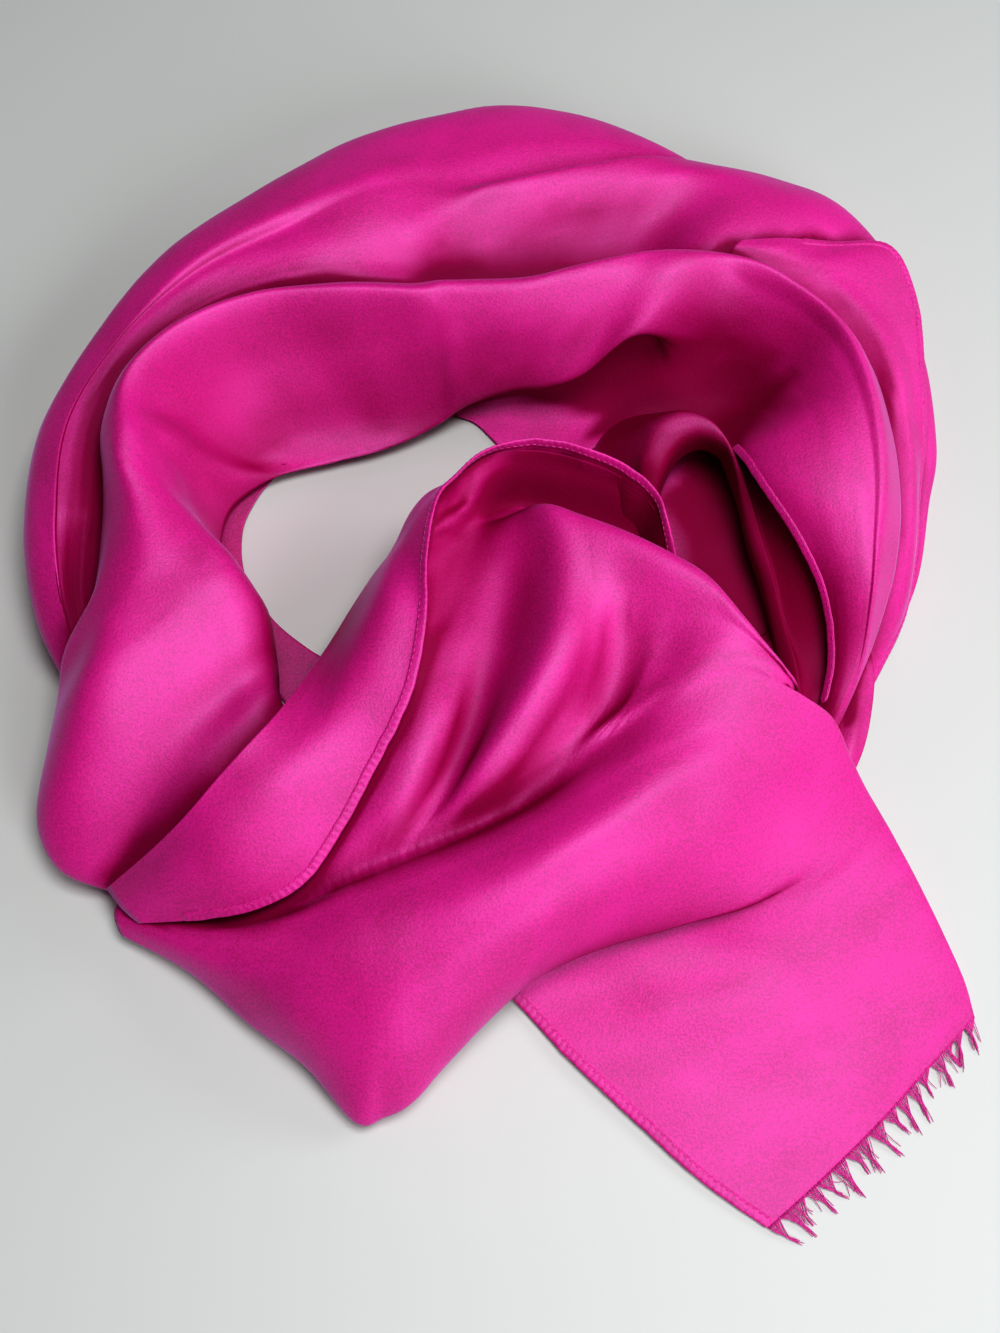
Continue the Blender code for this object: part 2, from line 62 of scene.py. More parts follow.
def silk_material(name, grain=1.0, see_through=0.06, light_dye=MAGENTA, deep_dye=DEEP_MAGENTA):
    """Crepe silk: `grain` is how strong its relief is, and `see_through` how much of the light goes through it."""
    silk = bpy.data.materials.new(name)
    silk.use_nodes = True
    nodes, links = silk.node_tree.nodes, silk.node_tree.links

    def node(kind, values, wires):
        """A node with the values of its sockets, and the outputs that feed the others."""
        made = nodes.new("ShaderNode" + kind)
        if kind == "Mix":
            made.data_type = "RGBA"
        for socket, value in values.items():
            made.inputs[socket].default_value = value
        for socket, output in wires.items():
            links.new(output, made.inputs[socket])
        return made

    cloth_metres = node("UVMap", {}, {})
    cloth_metres.uv_map = "UVMap"
    cloth_uv = cloth_metres.outputs["UV"]
    along_warp = node("Mapping", {"Scale": (0.55, 1.0, 1.0)}, {"Vector": cloth_uv}).outputs["Vector"]
    place = node("TexCoord", {}, {}).outputs["Object"]
    pebble = node("TexNoise", {"Scale": 1350.0, "Detail": 2.0}, {"Vector": place}).outputs["Fac"]
    washed = node("TexNoise", {"Scale": 190.0, "Detail": 4.0}, {"Vector": along_warp}).outputs["Fac"]
    clouded = node("TexNoise", {"Scale": 34.0, "Detail": 2.0}, {"Vector": cloth_uv}).outputs["Fac"]

    cloud_part = node("Math", {1: 0.38}, {0: clouded})
    cloud_part.operation = "MULTIPLY"
    mottle = node("Math", {1: 0.62}, {0: pebble})
    mottle.operation = "MULTIPLY_ADD"
    links.new(cloud_part.outputs[0], mottle.inputs[2])
    spread = node("MapRange", {"From Min": 0.36, "From Max": 0.6}, {"Value": mottle.outputs[0]})
    dye = node("Mix", {MIX_FROM: deep_dye, MIX_TO: light_dye}, {"Factor": spread.outputs["Result"]})
    # Painted shade: where a sheet lies shut in by folds, the dye is mixed toward dark crimson.
    painted_fold_shade = node("Attribute", {}, {})
    painted_fold_shade.attribute_name = "painted_fold_shade"
    painted_shade = painted_fold_shade.outputs["Fac"]
    painted_shade_mix = node("Mix", {MIX_TO: PAINTED_SHADE_CRIMSON}, {"Factor": painted_shade, MIX_FROM: dye.outputs[MIX_RESULT]})

    slub = node("Bump", {"Strength": 0.1 * grain, "Distance": 0.0005}, {"Height": washed})
    under_pebble = slub.outputs["Normal"]
    crepe = node("Bump", {"Strength": 0.34 * grain, "Distance": 0.0003}, {"Height": pebble, "Normal": under_pebble})

    shader = nodes["Principled BSDF"]
    shader.inputs["Roughness"].default_value = 0.57
    shader.inputs["IOR"].default_value = 1.65
    shader.inputs["Specular Tint"].default_value = (0.8, 0.6, 1.0, 1.0)
    shader.inputs["Sheen Roughness"].default_value = 0.4
    shader.inputs["Sheen Tint"].default_value = (0.85, 0.5, 1.0, 1.0)
    # Painted shade too: in the folds the specular and the sheen fade, so no highlight shows there.
    for socket, in_the_open, in_a_fold in (("Specular IOR Level", 0.95, 0.12), ("Sheen Weight", 0.4, 0.0)):
        lustre_in_painted_shade = node("MapRange", {"From Max": 0.8, "To Min": in_the_open, "To Max": in_a_fold}, {"Value": painted_shade})
        links.new(lustre_in_painted_shade.outputs["Result"], shader.inputs[socket])
    links.new(painted_shade_mix.outputs[MIX_RESULT], shader.inputs["Base Color"])
    links.new(crepe.outputs["Normal"], shader.inputs["Normal"])
    light_through = node("BsdfTranslucent", {"Color": THROUGH_SILK}, {})
    both = node("MixShader", {"Fac": see_through}, {1: shader.outputs["BSDF"], 2: light_through.outputs["BSDF"]})
    links.new(both.outputs["Shader"], nodes["Material Output"].inputs["Surface"])
    return silk


SILK = silk_material("silk")
# A darker copy of the silk: painted shade for the arch, the lowest turn and the hidden plies.
SILK_PAINTED_SHADE = silk_material(
    "silk_in_shade", see_through=0.02, light_dye=PAINTED_SHADE_MAGENTA, deep_dye=PAINTED_SHADE_DEEP
)

# ----------------------------------------------------------------------
# How the cloth is laid: each stretch that shows is one thin sheet through the lines of its table, smooth both ways.
# Creases are pressed into it. Its UV map is the cloth itself in metres, so that the grain keeps its size.
HEAP_MIDDLE = (1.6, -33.6)
MILLIMETRE = 0.001
CLOTH_THICKNESS = 0.4
FLOOR_GAP = 0.45
BROAD_WAVER, FINE_WAVER, FINE_SHARE = 30.0, 11.0, 0.16
CREASE_END = 0.3
SHEETS = []


def in_scene(points):
    """Points of the tables, in the scene's metres about the middle of the heap's footprint."""
    return (np.array(points) - (*HEAP_MIDDLE, 0.0)) * MILLIMETRE


def around(bearing, radius, height):
    """The point at a bearing, in degrees anticlockwise from the right, about the middle of the ring."""
    turn = math.radians(bearing)
    return (radius * math.cos(turn), radius * math.sin(turn), height)


def ring_lines(table):
    """Lines of (bearing, then a radius and a height for each rail) as points; None stays an absent rail."""
    lines = []
    for bearing, *rails in table:
        pairs = [rails[k : k + 2] for k in range(0, len(rails), 2)]
        lines.append([None if pair[0] is None else around(bearing, *pair) for pair in pairs])
    return lines


def smooth(points, steps):
    """Catmull-Rom through the first axis of an array, with `steps` stretches between two points."""
    points = np.asarray(points, float)
    padded = np.concatenate([2 * points[:1] - points[1:2], points, 2 * points[-1:] - points[-2:-1]])
    out = []
    for k in range(len(points) - 1):
        before, start, end, after = padded[k : k + 4]
        for step in range(steps):
            t = step / steps
            out.append(0.5 * (2 * start + (end - before) * t + (2 * before - 5 * start + 4 * end - after) * t**2
                              + (3 * start - before - 3 * end + after) * t**3))
    out.append(points[-1])
    return np.array(out)


def running_total(steps):
    return np.concatenate([[0.0], np.cumsum(steps)])


def distances(points):
    """How far along its path each point lies."""
    return running_total(np.linalg.norm(np.diff(points, axis=0), axis=1))


def points_at(wanted, reach, points):
    """The points at the wanted distances along a path; `reach` is how far along it each given point lies."""
    return np.stack([np.interp(wanted, reach, points[:, axis]) for axis in range(3)], axis=-1)


def spread_rails(points, count):
    """The given number of points, evenly spaced along the smooth curve through a few."""
    curve = smooth(points, 12)
    reach = distances(curve)
    return points_at(np.linspace(0.0, reach[-1], count), reach, curve).tolist()


def carry_on(lines):
    """Fills absent points by carrying on the two lines beside them, and says which points are really there."""
    present = np.array([[point is not None for point in line] for line in lines])
    grid = np.array([[(0.0, 0.0, 0.0) if point is None else point for point in line] for line in lines])
    for rail in range(grid.shape[1]):
        there = np.flatnonzero(present[:, rail])
        for k in range(there[0] - 1, -1, -1):
            grid[k, rail] = 2 * grid[k + 1, rail] - grid[k + 2, rail]
        for k in range(there[-1] + 1, len(grid)):
            grid[k, rail] = 2 * grid[k - 1, rail] - grid[k - 2, rail]
    lines_there = np.pad(present, ((1, 1), (0, 0)), mode="edge")
    lonely = ~present & ~lines_there[:-2] & ~lines_there[2:]
    for k, rail in zip(*np.nonzero(lonely)):
        for step in (1, -1):
            if 0 <= rail + 2 * step < grid.shape[1] and present[k, rail + step]:
                grid[k, rail] = 2 * grid[k, rail + step] - grid[k, rail + 2 * step]
    return grid, present


def grid_normals(grid):
    normal = np.cross(np.gradient(grid, axis=1), np.gradient(grid, axis=0))
    length = np.linalg.norm(normal, axis=2, keepdims=True)
    return normal / np.maximum(length, 1e-9)


def press_creases(grid, creases):
    """Each crease is a path, its half-width and its height: a ridge, or a trough where the height is below 0."""
    normals = grid_normals(grid)
    lift = np.zeros(grid.shape[:2])
    for path, width, height in creases:
        line = smooth(path, 14)
        ways = np.linalg.norm(grid[:, :, None, :] - line[None, None], axis=3)
        nearest = ways.argmin(axis=2) / (len(line) - 1)
        fade = np.clip(np.minimum(nearest, 1 - nearest) / CREASE_END, 0.0, 1.0)
        lift += height * (fade * fade * (3 - 2 * fade)) * np.exp(-((ways.min(axis=2) / width) ** 2))
    return grid + normals * lift[:, :, None]


def uneven(grid, size, height, seed):
    """The slight waver of soft cloth: nothing lies quite smooth."""
    normals = grid_normals(grid)
    start = Vector((seed, 0, 0))
    waver = [[noise.noise(Vector(point) / size + start) for point in line] for line in grid.tolist()]
    return grid + normals * (np.array(waver) * height)[:, :, None]


def make_piece(name, mesh, uvs, material, clean):
    """A smooth piece of the mesh, with its UV map and material, after one cleaning step in edit mode."""
    mesh.uv_layers.new(name="UVMap").data.foreach_set("uv", uvs.ravel())
    mesh.materials.append(material)
    piece = bpy.data.objects.new(name, mesh)
    bpy.context.scene.collection.objects.link(piece)
    piece.select_set(True)
    bpy.context.view_layer.objects.active = piece
    bpy.ops.object.mode_set(mode="EDIT")
    bpy.ops.mesh.select_all(action="SELECT")
    clean()
    bpy.ops.object.mode_set(mode="OBJECT")
    bpy.ops.object.shade_smooth()
    return piece


def lay_cloth(name, lines, along, across, creases=(), waver=0.35, seed=0.0, material=SILK):
    """A sheet through the lines of a table, and its grid of points in the tables' millimetres."""
    coarse, present = carry_on(lines)
    grid = np.swapaxes(smooth(np.swapaxes(smooth(coarse, along), 0, 1), across), 0, 1)
    grid = press_creases(grid, creases)
    grid = uneven(uneven(grid, BROAD_WAVER, waver, seed), FINE_WAVER, waver * FINE_SHARE, seed + 7.0)
    grid[:, :, 2] = np.maximum(grid[:, :, 2], FLOOR_GAP)
    count_u, count_v = grid.shape[:2]

    steps_u = np.linalg.norm(np.diff(grid, axis=0), axis=2).mean(axis=1)
    steps_v = np.linalg.norm(np.diff(grid, axis=1), axis=2).mean(axis=0)
    reach_u, reach_v = running_total(steps_u) * MILLIMETRE, running_total(steps_v) * MILLIMETRE

    cells = present[:-1, :-1] & present[1:, :-1] & present[:-1, 1:] & present[1:, 1:]
    faces = []
    for u in range(count_u - 1):
        for v in range(count_v - 1):
            if cells[u // along, v // across]:
                corner = u * count_v + v
                faces.append((corner, corner + 1, corner + count_v + 1, corner + count_v))
    points = in_scene(grid.reshape(-1, 3))
    mesh = bpy.data.meshes.new(name)
    mesh.from_pydata(points.tolist(), [], faces)
    grid_spot = mesh.attributes.new("grid_spot", "INT", "POINT")
    grid_spot.data.foreach_set("value", np.arange(len(points), dtype=np.int32))
    corners = np.empty(len(mesh.loops), dtype=int)
    mesh.loops.foreach_get("vertex_index", corners)
    uvs = np.stack([reach_u[corners // count_v], reach_v[corners % count_v]], axis=1)
    piece = make_piece(name, mesh, uvs, material, bpy.ops.mesh.delete_loose)
    ply = piece.modifiers.new("ply", "SOLIDIFY")
    ply.thickness = CLOTH_THICKNESS * MILLIMETRE
    ply.offset = 0.0
    bpy.ops.object.modifier_apply(modifier=ply.name)
    piece.select_set(False)
    SHEETS.append((piece, grid))
    return piece, grid


# ----------------------------------------------------------------------
# The outer turn: the outside of the ring, which rises from the table, rolls over and goes down behind the inner
# turn. At the upper right a soft fold is pulled out of it, which lies over it and falls to the table outside.
ABSENT = (None,) * 8  # the foot, belly, shoulder and crown are not there
OUTER_TURN = [
    # bearing, foot, belly, shoulder, crown, fold root, fold edge, fold top, dip, inner, tuck: each r z
    (206, 151, 0.6, 156, 6, 156, 9, 152, 12, 151, 11.8, 150, 11.5, 149, 11.2, 148, 10.7, 147, 10, 143, 6),
    (196, 153, 0.6, 160, 15, 158, 24, 150, 30, 148, 29.6, 146.5, 29, 145, 28.2, 143, 27.3, 141, 26, 137, 21),
    (184, 156, 0.6, 162, 19, 159, 30, 149, 37, 147, 36.6, 144.5, 36, 142, 35, 139, 33.7, 136, 32, 132, 27),
    (170, 157, 0.6, 164, 20, 160, 33, 150, 40, 148, 40, 145.5, 39.6, 143, 38.7, 140, 37.5, 137, 36, 133, 31),
    (155, 154, 0.6, 160, 23, 157, 36, 145, 43, 142.5, 43.2, 140, 43, 137.5, 42.3, 135, 41.3, 132, 40, 128, 34),
    (140, 153, 0.6, 160, 25, 155, 40, 139, 49, 134, 47.6, 130, 47.7, 126, 47, 121.5, 45.8, 117, 44, 112, 36),
    (125, 152, 0.6, 158, 27, 153, 42.5, 133, 52.5, 125, 50.3, 119, 50.5, 113, 50, 106, 48, 99, 45, 94, 37),
    (112, 159, 0.6, 165, 28, 159, 42.5, 135, 52, 125, 52, 116, 50.6, 107, 48, 98, 45, 88, 43, 83, 35),
    (103, 164, 0.6, 170, 28, 164, 42, 138, 50.5, 126, 50.4, 117, 49.4, 109, 47.6, 98, 42.6, 88, 36, 81, 29),
    (96, 168, 0.6, 174, 28, 168, 41, 140, 48, 126, 48.2, 118, 49, 111.5, 46.5, 101, 40.5, 90, 33, 80, 27),
    (90, 172, 0.6, 178, 28, 172, 39, 145, 46.5, 128, 46.4, 122.5, 49.4, 115.5, 46, 104, 39.5, 91, 32, 81, 26),
    (83, 174, 0.6, 180, 27, 175, 36, 152, 44, 134, 44.3, 128, 49.4, 119.5, 46, 108, 38.5, 93, 31, 82, 25),
    (75, 175, 0.6, 180, 25, 176, 33, 160, 40, 145, 41, 139.5, 47.2, 130, 45, 117, 37, 99, 30, 86, 24),
    (67, 175, 0.6, 179, 21, 176, 29, 168, 34, 159, 36, 155.5, 43, 143, 43.5, 127, 35.5, 107, 29, 92, 24),
    (60, 175, 0.6, 178, 16, 176, 22, 172, 27, 174, 25, 172, 33, 158, 41.5, 137, 36, 116, 32, 104, 26),
    (52, 172, 0.6, 176, 6, 175, 9, 172, 12, 182, 1.0, 187, 23, 170, 39, 145, 43.6, 123, 41, 116, 30),
    (44, *ABSENT, 178, 1.0, 189.5, 27, 174, 39, 150, 41.2, 132, 38, 127, 33),
    (35, *ABSENT, 176, 1.0, 188, 21, 179, 30, 158, 32.5, 140, 30.5, 136, 28),
    (24, *ABSENT, 168, 1.0, 179.5, 14, 172, 21, 160, 25, 144, 23, 140, 21),
    (12, *ABSENT, 164, 1.0, 170, 8, 166, 13, 157, 15.5, 147, 15, 143, 13),
    (4, *ABSENT, 158, 0.8, 161.5, 6, 158.5, 9, 153, 10, 147, 9, 144, 8),
    (-6, *ABSENT, 153, 0.7, 156, 4, 153, 6, 149, 6.5, 146, 5.5, 143, 4.5),
    (-15, *ABSENT, 148, 0.6, 150, 2.4, 148.5, 3.4, 146.5, 3.6, 144, 3, 142, 2.4),
]
OUTER_CREASES = [
    ([around(184, 136, 33), around(190, 139, 32), around(199, 147, 22)], 9.0, -2.6),
    ([around(150, 152, 38), around(130, 146, 45), around(112, 150, 44)], 11.0, 0.9),
    ([around(140, 116, 49), around(112, 108, 49), around(97, 100, 44)], 13.0, 1.6),
    ([around(170, 160, 30), around(150, 160, 26), around(132, 158, 30)], 8.0, -1.0),
    ([around(120, 165, 20), around(104, 170, 30), around(88, 172, 34)], 9.0, -1.4),
    ([around(110, 166, 10), around(96, 172, 18), around(80, 179, 16)], 7.0, 0.9),
    ([around(146, 161, 8), around(134, 160, 14), around(120, 162, 10)], 7.0, -0.9),
    ([around(40, 170, 38), around(32, 172, 34), around(20, 168, 24)], 6.0, -1.0),
]
outer_turn, _ = lay_cloth("outer_turn", ring_lines(OUTER_TURN), 10, 12, OUTER_CREASES, seed=1.0)
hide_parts("outer_back", "upper_flap")
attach(outer_turn, "root")

# ----------------------------------------------------------------------
# The inner turn: the upright face round the far side of the ring, folded under along its lower edge. On the left it
# crosses the outer turn and spreads to the near corner; on the right the fold runs out into the ring's inside.
INNER_TURN_FAR = [
    # bearing, back, ridge, brow, face, low, lip, under, high, middle, floor, foot: each r z
    (48, 121, 47, 117, 55, 110, 58, 100, 56, 88, 50, 80, 43.5, 86, 40, 90, 29, 82, 15, 66, 5, 46, 2.0),
    (57, 110, 34, 104, 54, 97, 57, 85, 52, 74, 40, 64, 28, 71, 29, 75, 21, 72, 10, 60, 2.6, 40, 1.2),
    (68, 97, 30, 89, 53, 81, 56, 71, 47, 62, 32, 57, 21, 64, 22.5, 67, 16, 66, 7, 57, 1.6, 38, 1.0),
    (80, 87, 30, 79, 52, 72, 55, 65, 44, 58, 28, 55, 17, 62, 18, 64, 12, 63, 5, 55, 1.4, 38, 1.0),
    (95, 85, 33, 77, 52, 70, 54, 63, 42, 56, 25, 52, 13, 58, 13.5, 59, 9, 58, 4, 55, 1.6, 50, 1.0),
    (103, 85.5, 36, 78.5, 52, 71.5, 54, 63.5, 41, 55.5, 23.5, 50.5, 11, 56, 10.5, 56.5, 7, 56, 4, 55.5, 1.8, 55, 1.0),
]
INNER_TURN_LEFT = [
    # bearing, back, ridge, brow, face, low, lip, under: each r z
    (110, 84, 45, 80, 52, 73, 54, 65, 37, 56, 18, 49, 9, 55, 9),
    (125, 95, 47, 91, 53, 84, 54, 73, 34, 59, 13, 49, 7, 56, 7),
    (140, 114, 46, 110, 52, 103, 54, 89, 31, 70, 11, 54, 6, 61, 6),
    (152, 128, 42, 124, 52, 117, 54, 103, 30, 84, 10, 65, 5.5, 72, 5.5),
    (163, 134, 42, 131, 52, 125, 54, 112, 31, 95, 11, 82, 5.5, 88, 5.5),
    (172, 136, 39, 132, 50, 125, 56, 119, 53, 113, 42, 94, 6, 99, 6),
    (180, 132, 38, 128, 49, 122, 56, 114, 52, 107, 38, 97, 6, 101, 6),
    (188, 132, 36, 126, 46, 117, 54, 106, 50, 99, 38, 96, 6, 100, 6),
    (198, 139, 33, 134, 43, 118, 52, 103, 50, 91, 42, 91, 6, 95, 6),
    (203, 152, 25, 149, 34, 128, 48, 105, 50, 89, 42, 89, 6, 94, 6),
    (207, 160, 13, 158, 26, 138, 45, 107, 49, 88, 41, 89, 6, 95, 6),
    (212, 165, 0.8, 170, 20, 150, 43, 115, 46, 88, 39, 90, 6, 96, 6),
    (218, 178, 0.8, 184, 18, 162, 37, 125, 41, 92, 37, 94, 6, 98, 6),
    (223, 182, 0.8, 188, 13, 168, 27, 130, 35, 97, 33, 99, 6, 103, 6),
    (228, 176, 0.8, 181, 8.5, 164, 19, 133, 34, 103, 34, 106, 8, 110, 8),
    (233, 168, 0.8, 172, 5, 158, 15, 135, 32, 107, 31, 109, 8, 113, 8),
]
INNER_TURN_RIGHT = [
    # bearing, back, ridge, high, middle, low, foot: each r z
    (-45, 138, 2.5, 137, 3.5, 135, 4, 133, 4, 131, 3.5, 129, 3),
    (-40, 141, 5, 140, 7, 138, 8, 136.5, 8, 135, 7.5, 133, 6),
    (-34, 142, 10, 141, 12.5, 140, 14, 138, 14, 136, 13, 134, 11),
    (-26, 141, 16, 140, 20, 138, 21, 135, 21, 132, 20, 129, 18),
    (-18, 141.5, 22, 136, 35, 133, 35.5, 127, 34, 123, 31.5, 119, 28),
    (-10.5, 142.5, 27, 134, 42, 128, 43, 119, 41, 113, 38, 107, 34),
    (-1, 143, 32, 134.5, 48, 125, 48.5, 112, 46, 102, 41.5, 95.5, 36),
    (10, 144, 36, 136, 52, 123, 49.5, 108, 43.5, 97, 37.5, 90, 32),
    (20, 145, 39.5, 137.5, 53, 124, 42, 109, 30, 98, 23, 89, 19),
    (27, 140, 42, 136, 53.4, 122, 33, 108, 18, 95, 12, 84, 9),
    (33, 136, 45, 132, 54.5, 118, 35, 105, 18, 91, 11, 76, 7),
    (40, 130, 48, 126, 56, 112, 42, 99, 25, 83, 12, 64, 5),
]
INNER_RAILS = 11
inner_lines = [line[:1] + spread_rails(line[1:], INNER_RAILS - 1) for line in ring_lines(INNER_TURN_RIGHT)]
inner_lines += ring_lines(INNER_TURN_FAR)
inner_lines += [line + [None] * (INNER_RAILS - len(line)) for line in ring_lines(INNER_TURN_LEFT)]
INNER_CREASES = [
    ([around(176, 122, 50), around(196, 112, 48), around(215, 130, 42)], 14.0, 1.2),
    ([around(200, 128, 46), around(210, 140, 42), around(222, 160, 30)], 9.0, -1.3),
    ([around(160, 108, 34), around(172, 110, 38), around(186, 104, 40)], 8.0, -1.2),
    ([around(70, 72, 48), around(98, 62, 40), around(122, 66, 34)], 9.0, -1.0),
    ([around(60, 90, 54), around(84, 72, 54), around(112, 74, 53)], 5.0, 0.7),
    ([around(206, 100, 46), around(219, 112, 40), around(229, 122, 36)], 6.0, 0.9),
]
inner_turn, inner_grid = lay_cloth("inner_turn", inner_lines, 8, 12, INNER_CREASES, seed=2.0)
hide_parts("inner_collar", "left_drop", "right_inner")
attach(inner_turn, "root")

# ----------------------------------------------------------------------
# The sash in front and the fringed end: one stretch of the scarf. It comes over the far wall of the cup, dips, rises
# to its ridge, fans out in pleats to the crease, rolls over, and goes on under the roll to the end on the table.
SASH = [
    # rim, wall, valley, back, ridge, high, middle, low, crease, rise, crown, belly, brow, tuck, then five lines
    # across the end that lies out: each x y z, or None where that part of the sash is not there
    [None] * 8 + [(-118, -138.5, 8), (-119, -141, 9), (-119, -143.5, 9), (-118.3, -146, 8), (-116.5, -149, 5.5),
                  (-113, -148, 2.5)] + [None] * 5,
    [None] * 8 + [(-100, -140, 12), (-98, -149, 16), (-96, -155, 16), (-95, -159, 12), (-94, -161, 6),
                  (-91, -158, 2.5)] + [None] * 5,
    [None] * 8 + [(-80, -142, 18), (-78, -152, 24), (-76, -163, 23), (-75, -171, 16), (-74, -177, 7),
                  (-70, -173, 2.5)] + [None] * 5,
    [(-18.2, -16.4, 54.6), (-18.5, -21, 54), (-20, -27, 53), (-21, -33, 52.5), (-22.5, -41, 52), (-23, -62, 50.5),
     (-26, -82, 47.5), (-36, -105, 42), (-58, -138.5, 27), (-59, -150, 30), (-57, -165, 32), (-56, -181, 24),
     (-56, -190, 8), (-52, -184, 2.5)] + [None] * 5,
    [(-11.2, -7.8, 53), (-10.5, -13, 48), (-10.5, -19, 49), (-11, -25, 46), (-12, -33, 45), (-14, -52, 45.5),
     (-18, -74, 46.5), (-26, -106, 43.6), (-46, -136, 31.5), (-43, -146, 36), (-41, -161, 38.5), (-39, -184, 29.5),
     (-40, -206, 7), (-36, -198, 2.5)] + [None] * 5,
    [(-3, 1.6, 51), (-3, -6, 48), (-3, -12, 43.5), (-3, -18, 42.5), (-2.5, -25, 43), (-3, -44, 44), (-8, -70, 45),
     (-18, -107, 41.5), (-35.5, -133.2, 33.3), (-32, -144, 39), (-30, -159, 41.5), (-29, -182, 33), (-31, -205, 8),
     (-30, -196, 3)] + [None] * 5,
    [(4.5, 5.8, 50), (5, 1, 44), (6, -6, 34), (8, -13, 38), (9.5, -20, 49), (9, -43, 45), (3, -72, 44),
     (-9, -107, 40), (-25.5, -129.8, 34.6), (-22, -141, 41), (-19, -156, 44), (-18, -177, 36), (-22, -201, 10),
     (-22, -191, 4)] + [None] * 5,
    [(12.5, 7.4, 48.6), (13, 4, 42), (14, -4, 31), (17, -12, 39), (20, -20.5, 57), (24, -46, 56.5), (18, -76, 54.5),
     (2, -104, 46), (-14, -125.5, 36), (-11, -137, 42.8), (-7, -152, 46.8), (-6, -171, 38), (-12, -190.5, 12),
     (-13, -181, 6)] + [None] * 5,
    [(22, 7.6, 46.8), (23, 4, 40), (24, -6, 28), (28, -16, 38), (31, -25.5, 59), (35, -52, 56), (31, -78, 50),
     (16, -102, 43), (0, -120, 37.2), (4, -131, 45), (9, -145, 50), (11, -161, 40.5), (3, -176, 15.5), (0, -167, 9),
     (8, -168, 2.4), (25, -186, 2.2), (45, -205, 2.2), (65, -223, 1.8), (85, -237, 1.0)],
    [(32.8, 5.4, 45), (34, 2, 38), (36, -9, 26), (40, -21, 38), (44, -32.5, 61), (45, -57, 53.5), (40, -80, 46),
     (28, -98, 43), (14, -113.5, 39.4), (18, -124, 47.5), (22, -137.5, 52.5), (25, -151.5, 42), (17, -165, 18),
     (13, -156, 11), (27, -163, 4), (47, -180.5, 4.5), (66, -196, 4.2), (84, -211.5, 2.8), (100, -225, 1.1)],
    [(43, 2.0, 43), (45, -2, 37), (48, -14, 26), (53, -28, 39), (57, -40, 62), (57, -60, 56), (50, -76, 51),
     (40, -90, 47.5), (28, -105, 43), (33, -115, 50), (39, -127.5, 54), (42, -143, 43), (36, -156.5, 19),
     (33, -148, 13.5), (46, -159, 6), (66, -174.5, 6.5), (85, -188.5, 5.5), (101, -202, 3.4), (113.5, -213.5, 1.2)],
    [(51.8, -4.2, 41), (54, -8, 35), (59, -22, 25), (65, -37, 39), (70, -48.5, 61.3), (70, -63, 59.3),
     (63, -74, 56), (54, -84, 52.5), (44, -95.2, 48), (49, -106, 53), (56, -117, 54), (61, -133, 42),
     (60, -149.5, 20), (59, -143, 16), (66, -152.5, 9), (84.5, -166, 8.5), (102.5, -179.5, 6.5), (117, -192, 3.8),
     (126, -202, 1.2)],
    [(56.6, -11.2, 40), (61, -17, 33), (68, -31, 24), (75, -47, 38), (80, -61, 59.8), (78, -67, 60), (73, -73, 58.6),
     (67, -80, 56.3), (60, -88, 53.4), (67, -97.5, 54.2), (75, -107, 52), (82, -122, 40), (85, -141, 22),
     (86, -141, 18), (87, -148, 13.5), (103.5, -158, 11), (119, -169.5, 7.3), (131, -181.5, 4.2), (137, -191, 1.3)],
    [(59.3, -19.6, 39), (66, -27, 32), (75, -40, 24), (82, -55, 41), (86.4, -69, 57.4), (85, -71.5, 58),
     (83, -74, 58.2), (81, -76.5, 57.8), (79, -79, 57), (86, -87, 54), (94, -98, 48), (100, -112, 38.5),
     (104, -125, 29), (107, -132, 23), (109, -138, 18), (121, -147, 13), (133, -160, 8), (142.5, -173, 4.5),
     (146.5, -182, 1.6)],
    [(61.2, -27.6, 35), (69, -37, 30), (81, -49, 22), (88, -63, 36), (92.4, -76, 54.2), (91.8, -77.4, 55),
     (91.2, -78.8, 55.4), (90.6, -80.2, 55.4), (90, -81.6, 55), (98, -85, 51), (108, -90, 44.5), (114, -100, 37),
     (119, -108, 31), (124, -115, 26.5), (129, -122.5, 21.5), (137, -135.5, 14.5), (145, -150.5, 8.3),
     (151, -164, 4.5), (153.5, -175, 2)],
    [(64.6, -33.4, 26), (72, -41, 22), (84, -52, 16), (93, -66, 24), (97.5, -80, 46), (97, -81, 47),
     (96.5, -82, 47.6), (96, -83, 48), (95.5, -84, 48), (103, -87.5, 44), (109.5, -94, 37), (115.5, -101.5, 26),
     (120, -109, 20), (125, -116, 15), (130, -122.5, 12.5), (138, -135.5, 9), (146, -150.5, 5), (151.8, -164, 3),
     (154, -175.2, 1.4)],
    [None, None, None, (94, -66, 10), (98, -79, 24), (97.6, -80, 25), (97.2, -81, 25.6), (96.8, -82, 26),
     (96.4, -83, 26), (103, -87, 20), (109, -94, 14), (114.5, -101.5, 9), (119.5, -109.5, 6), (125, -117, 4.5),
     (130, -123, 4), (137.8, -136, 3), (145.7, -151, 1.6), (151.5, -164.3, 1.0), (153.8, -175.4, 0.8)],
]
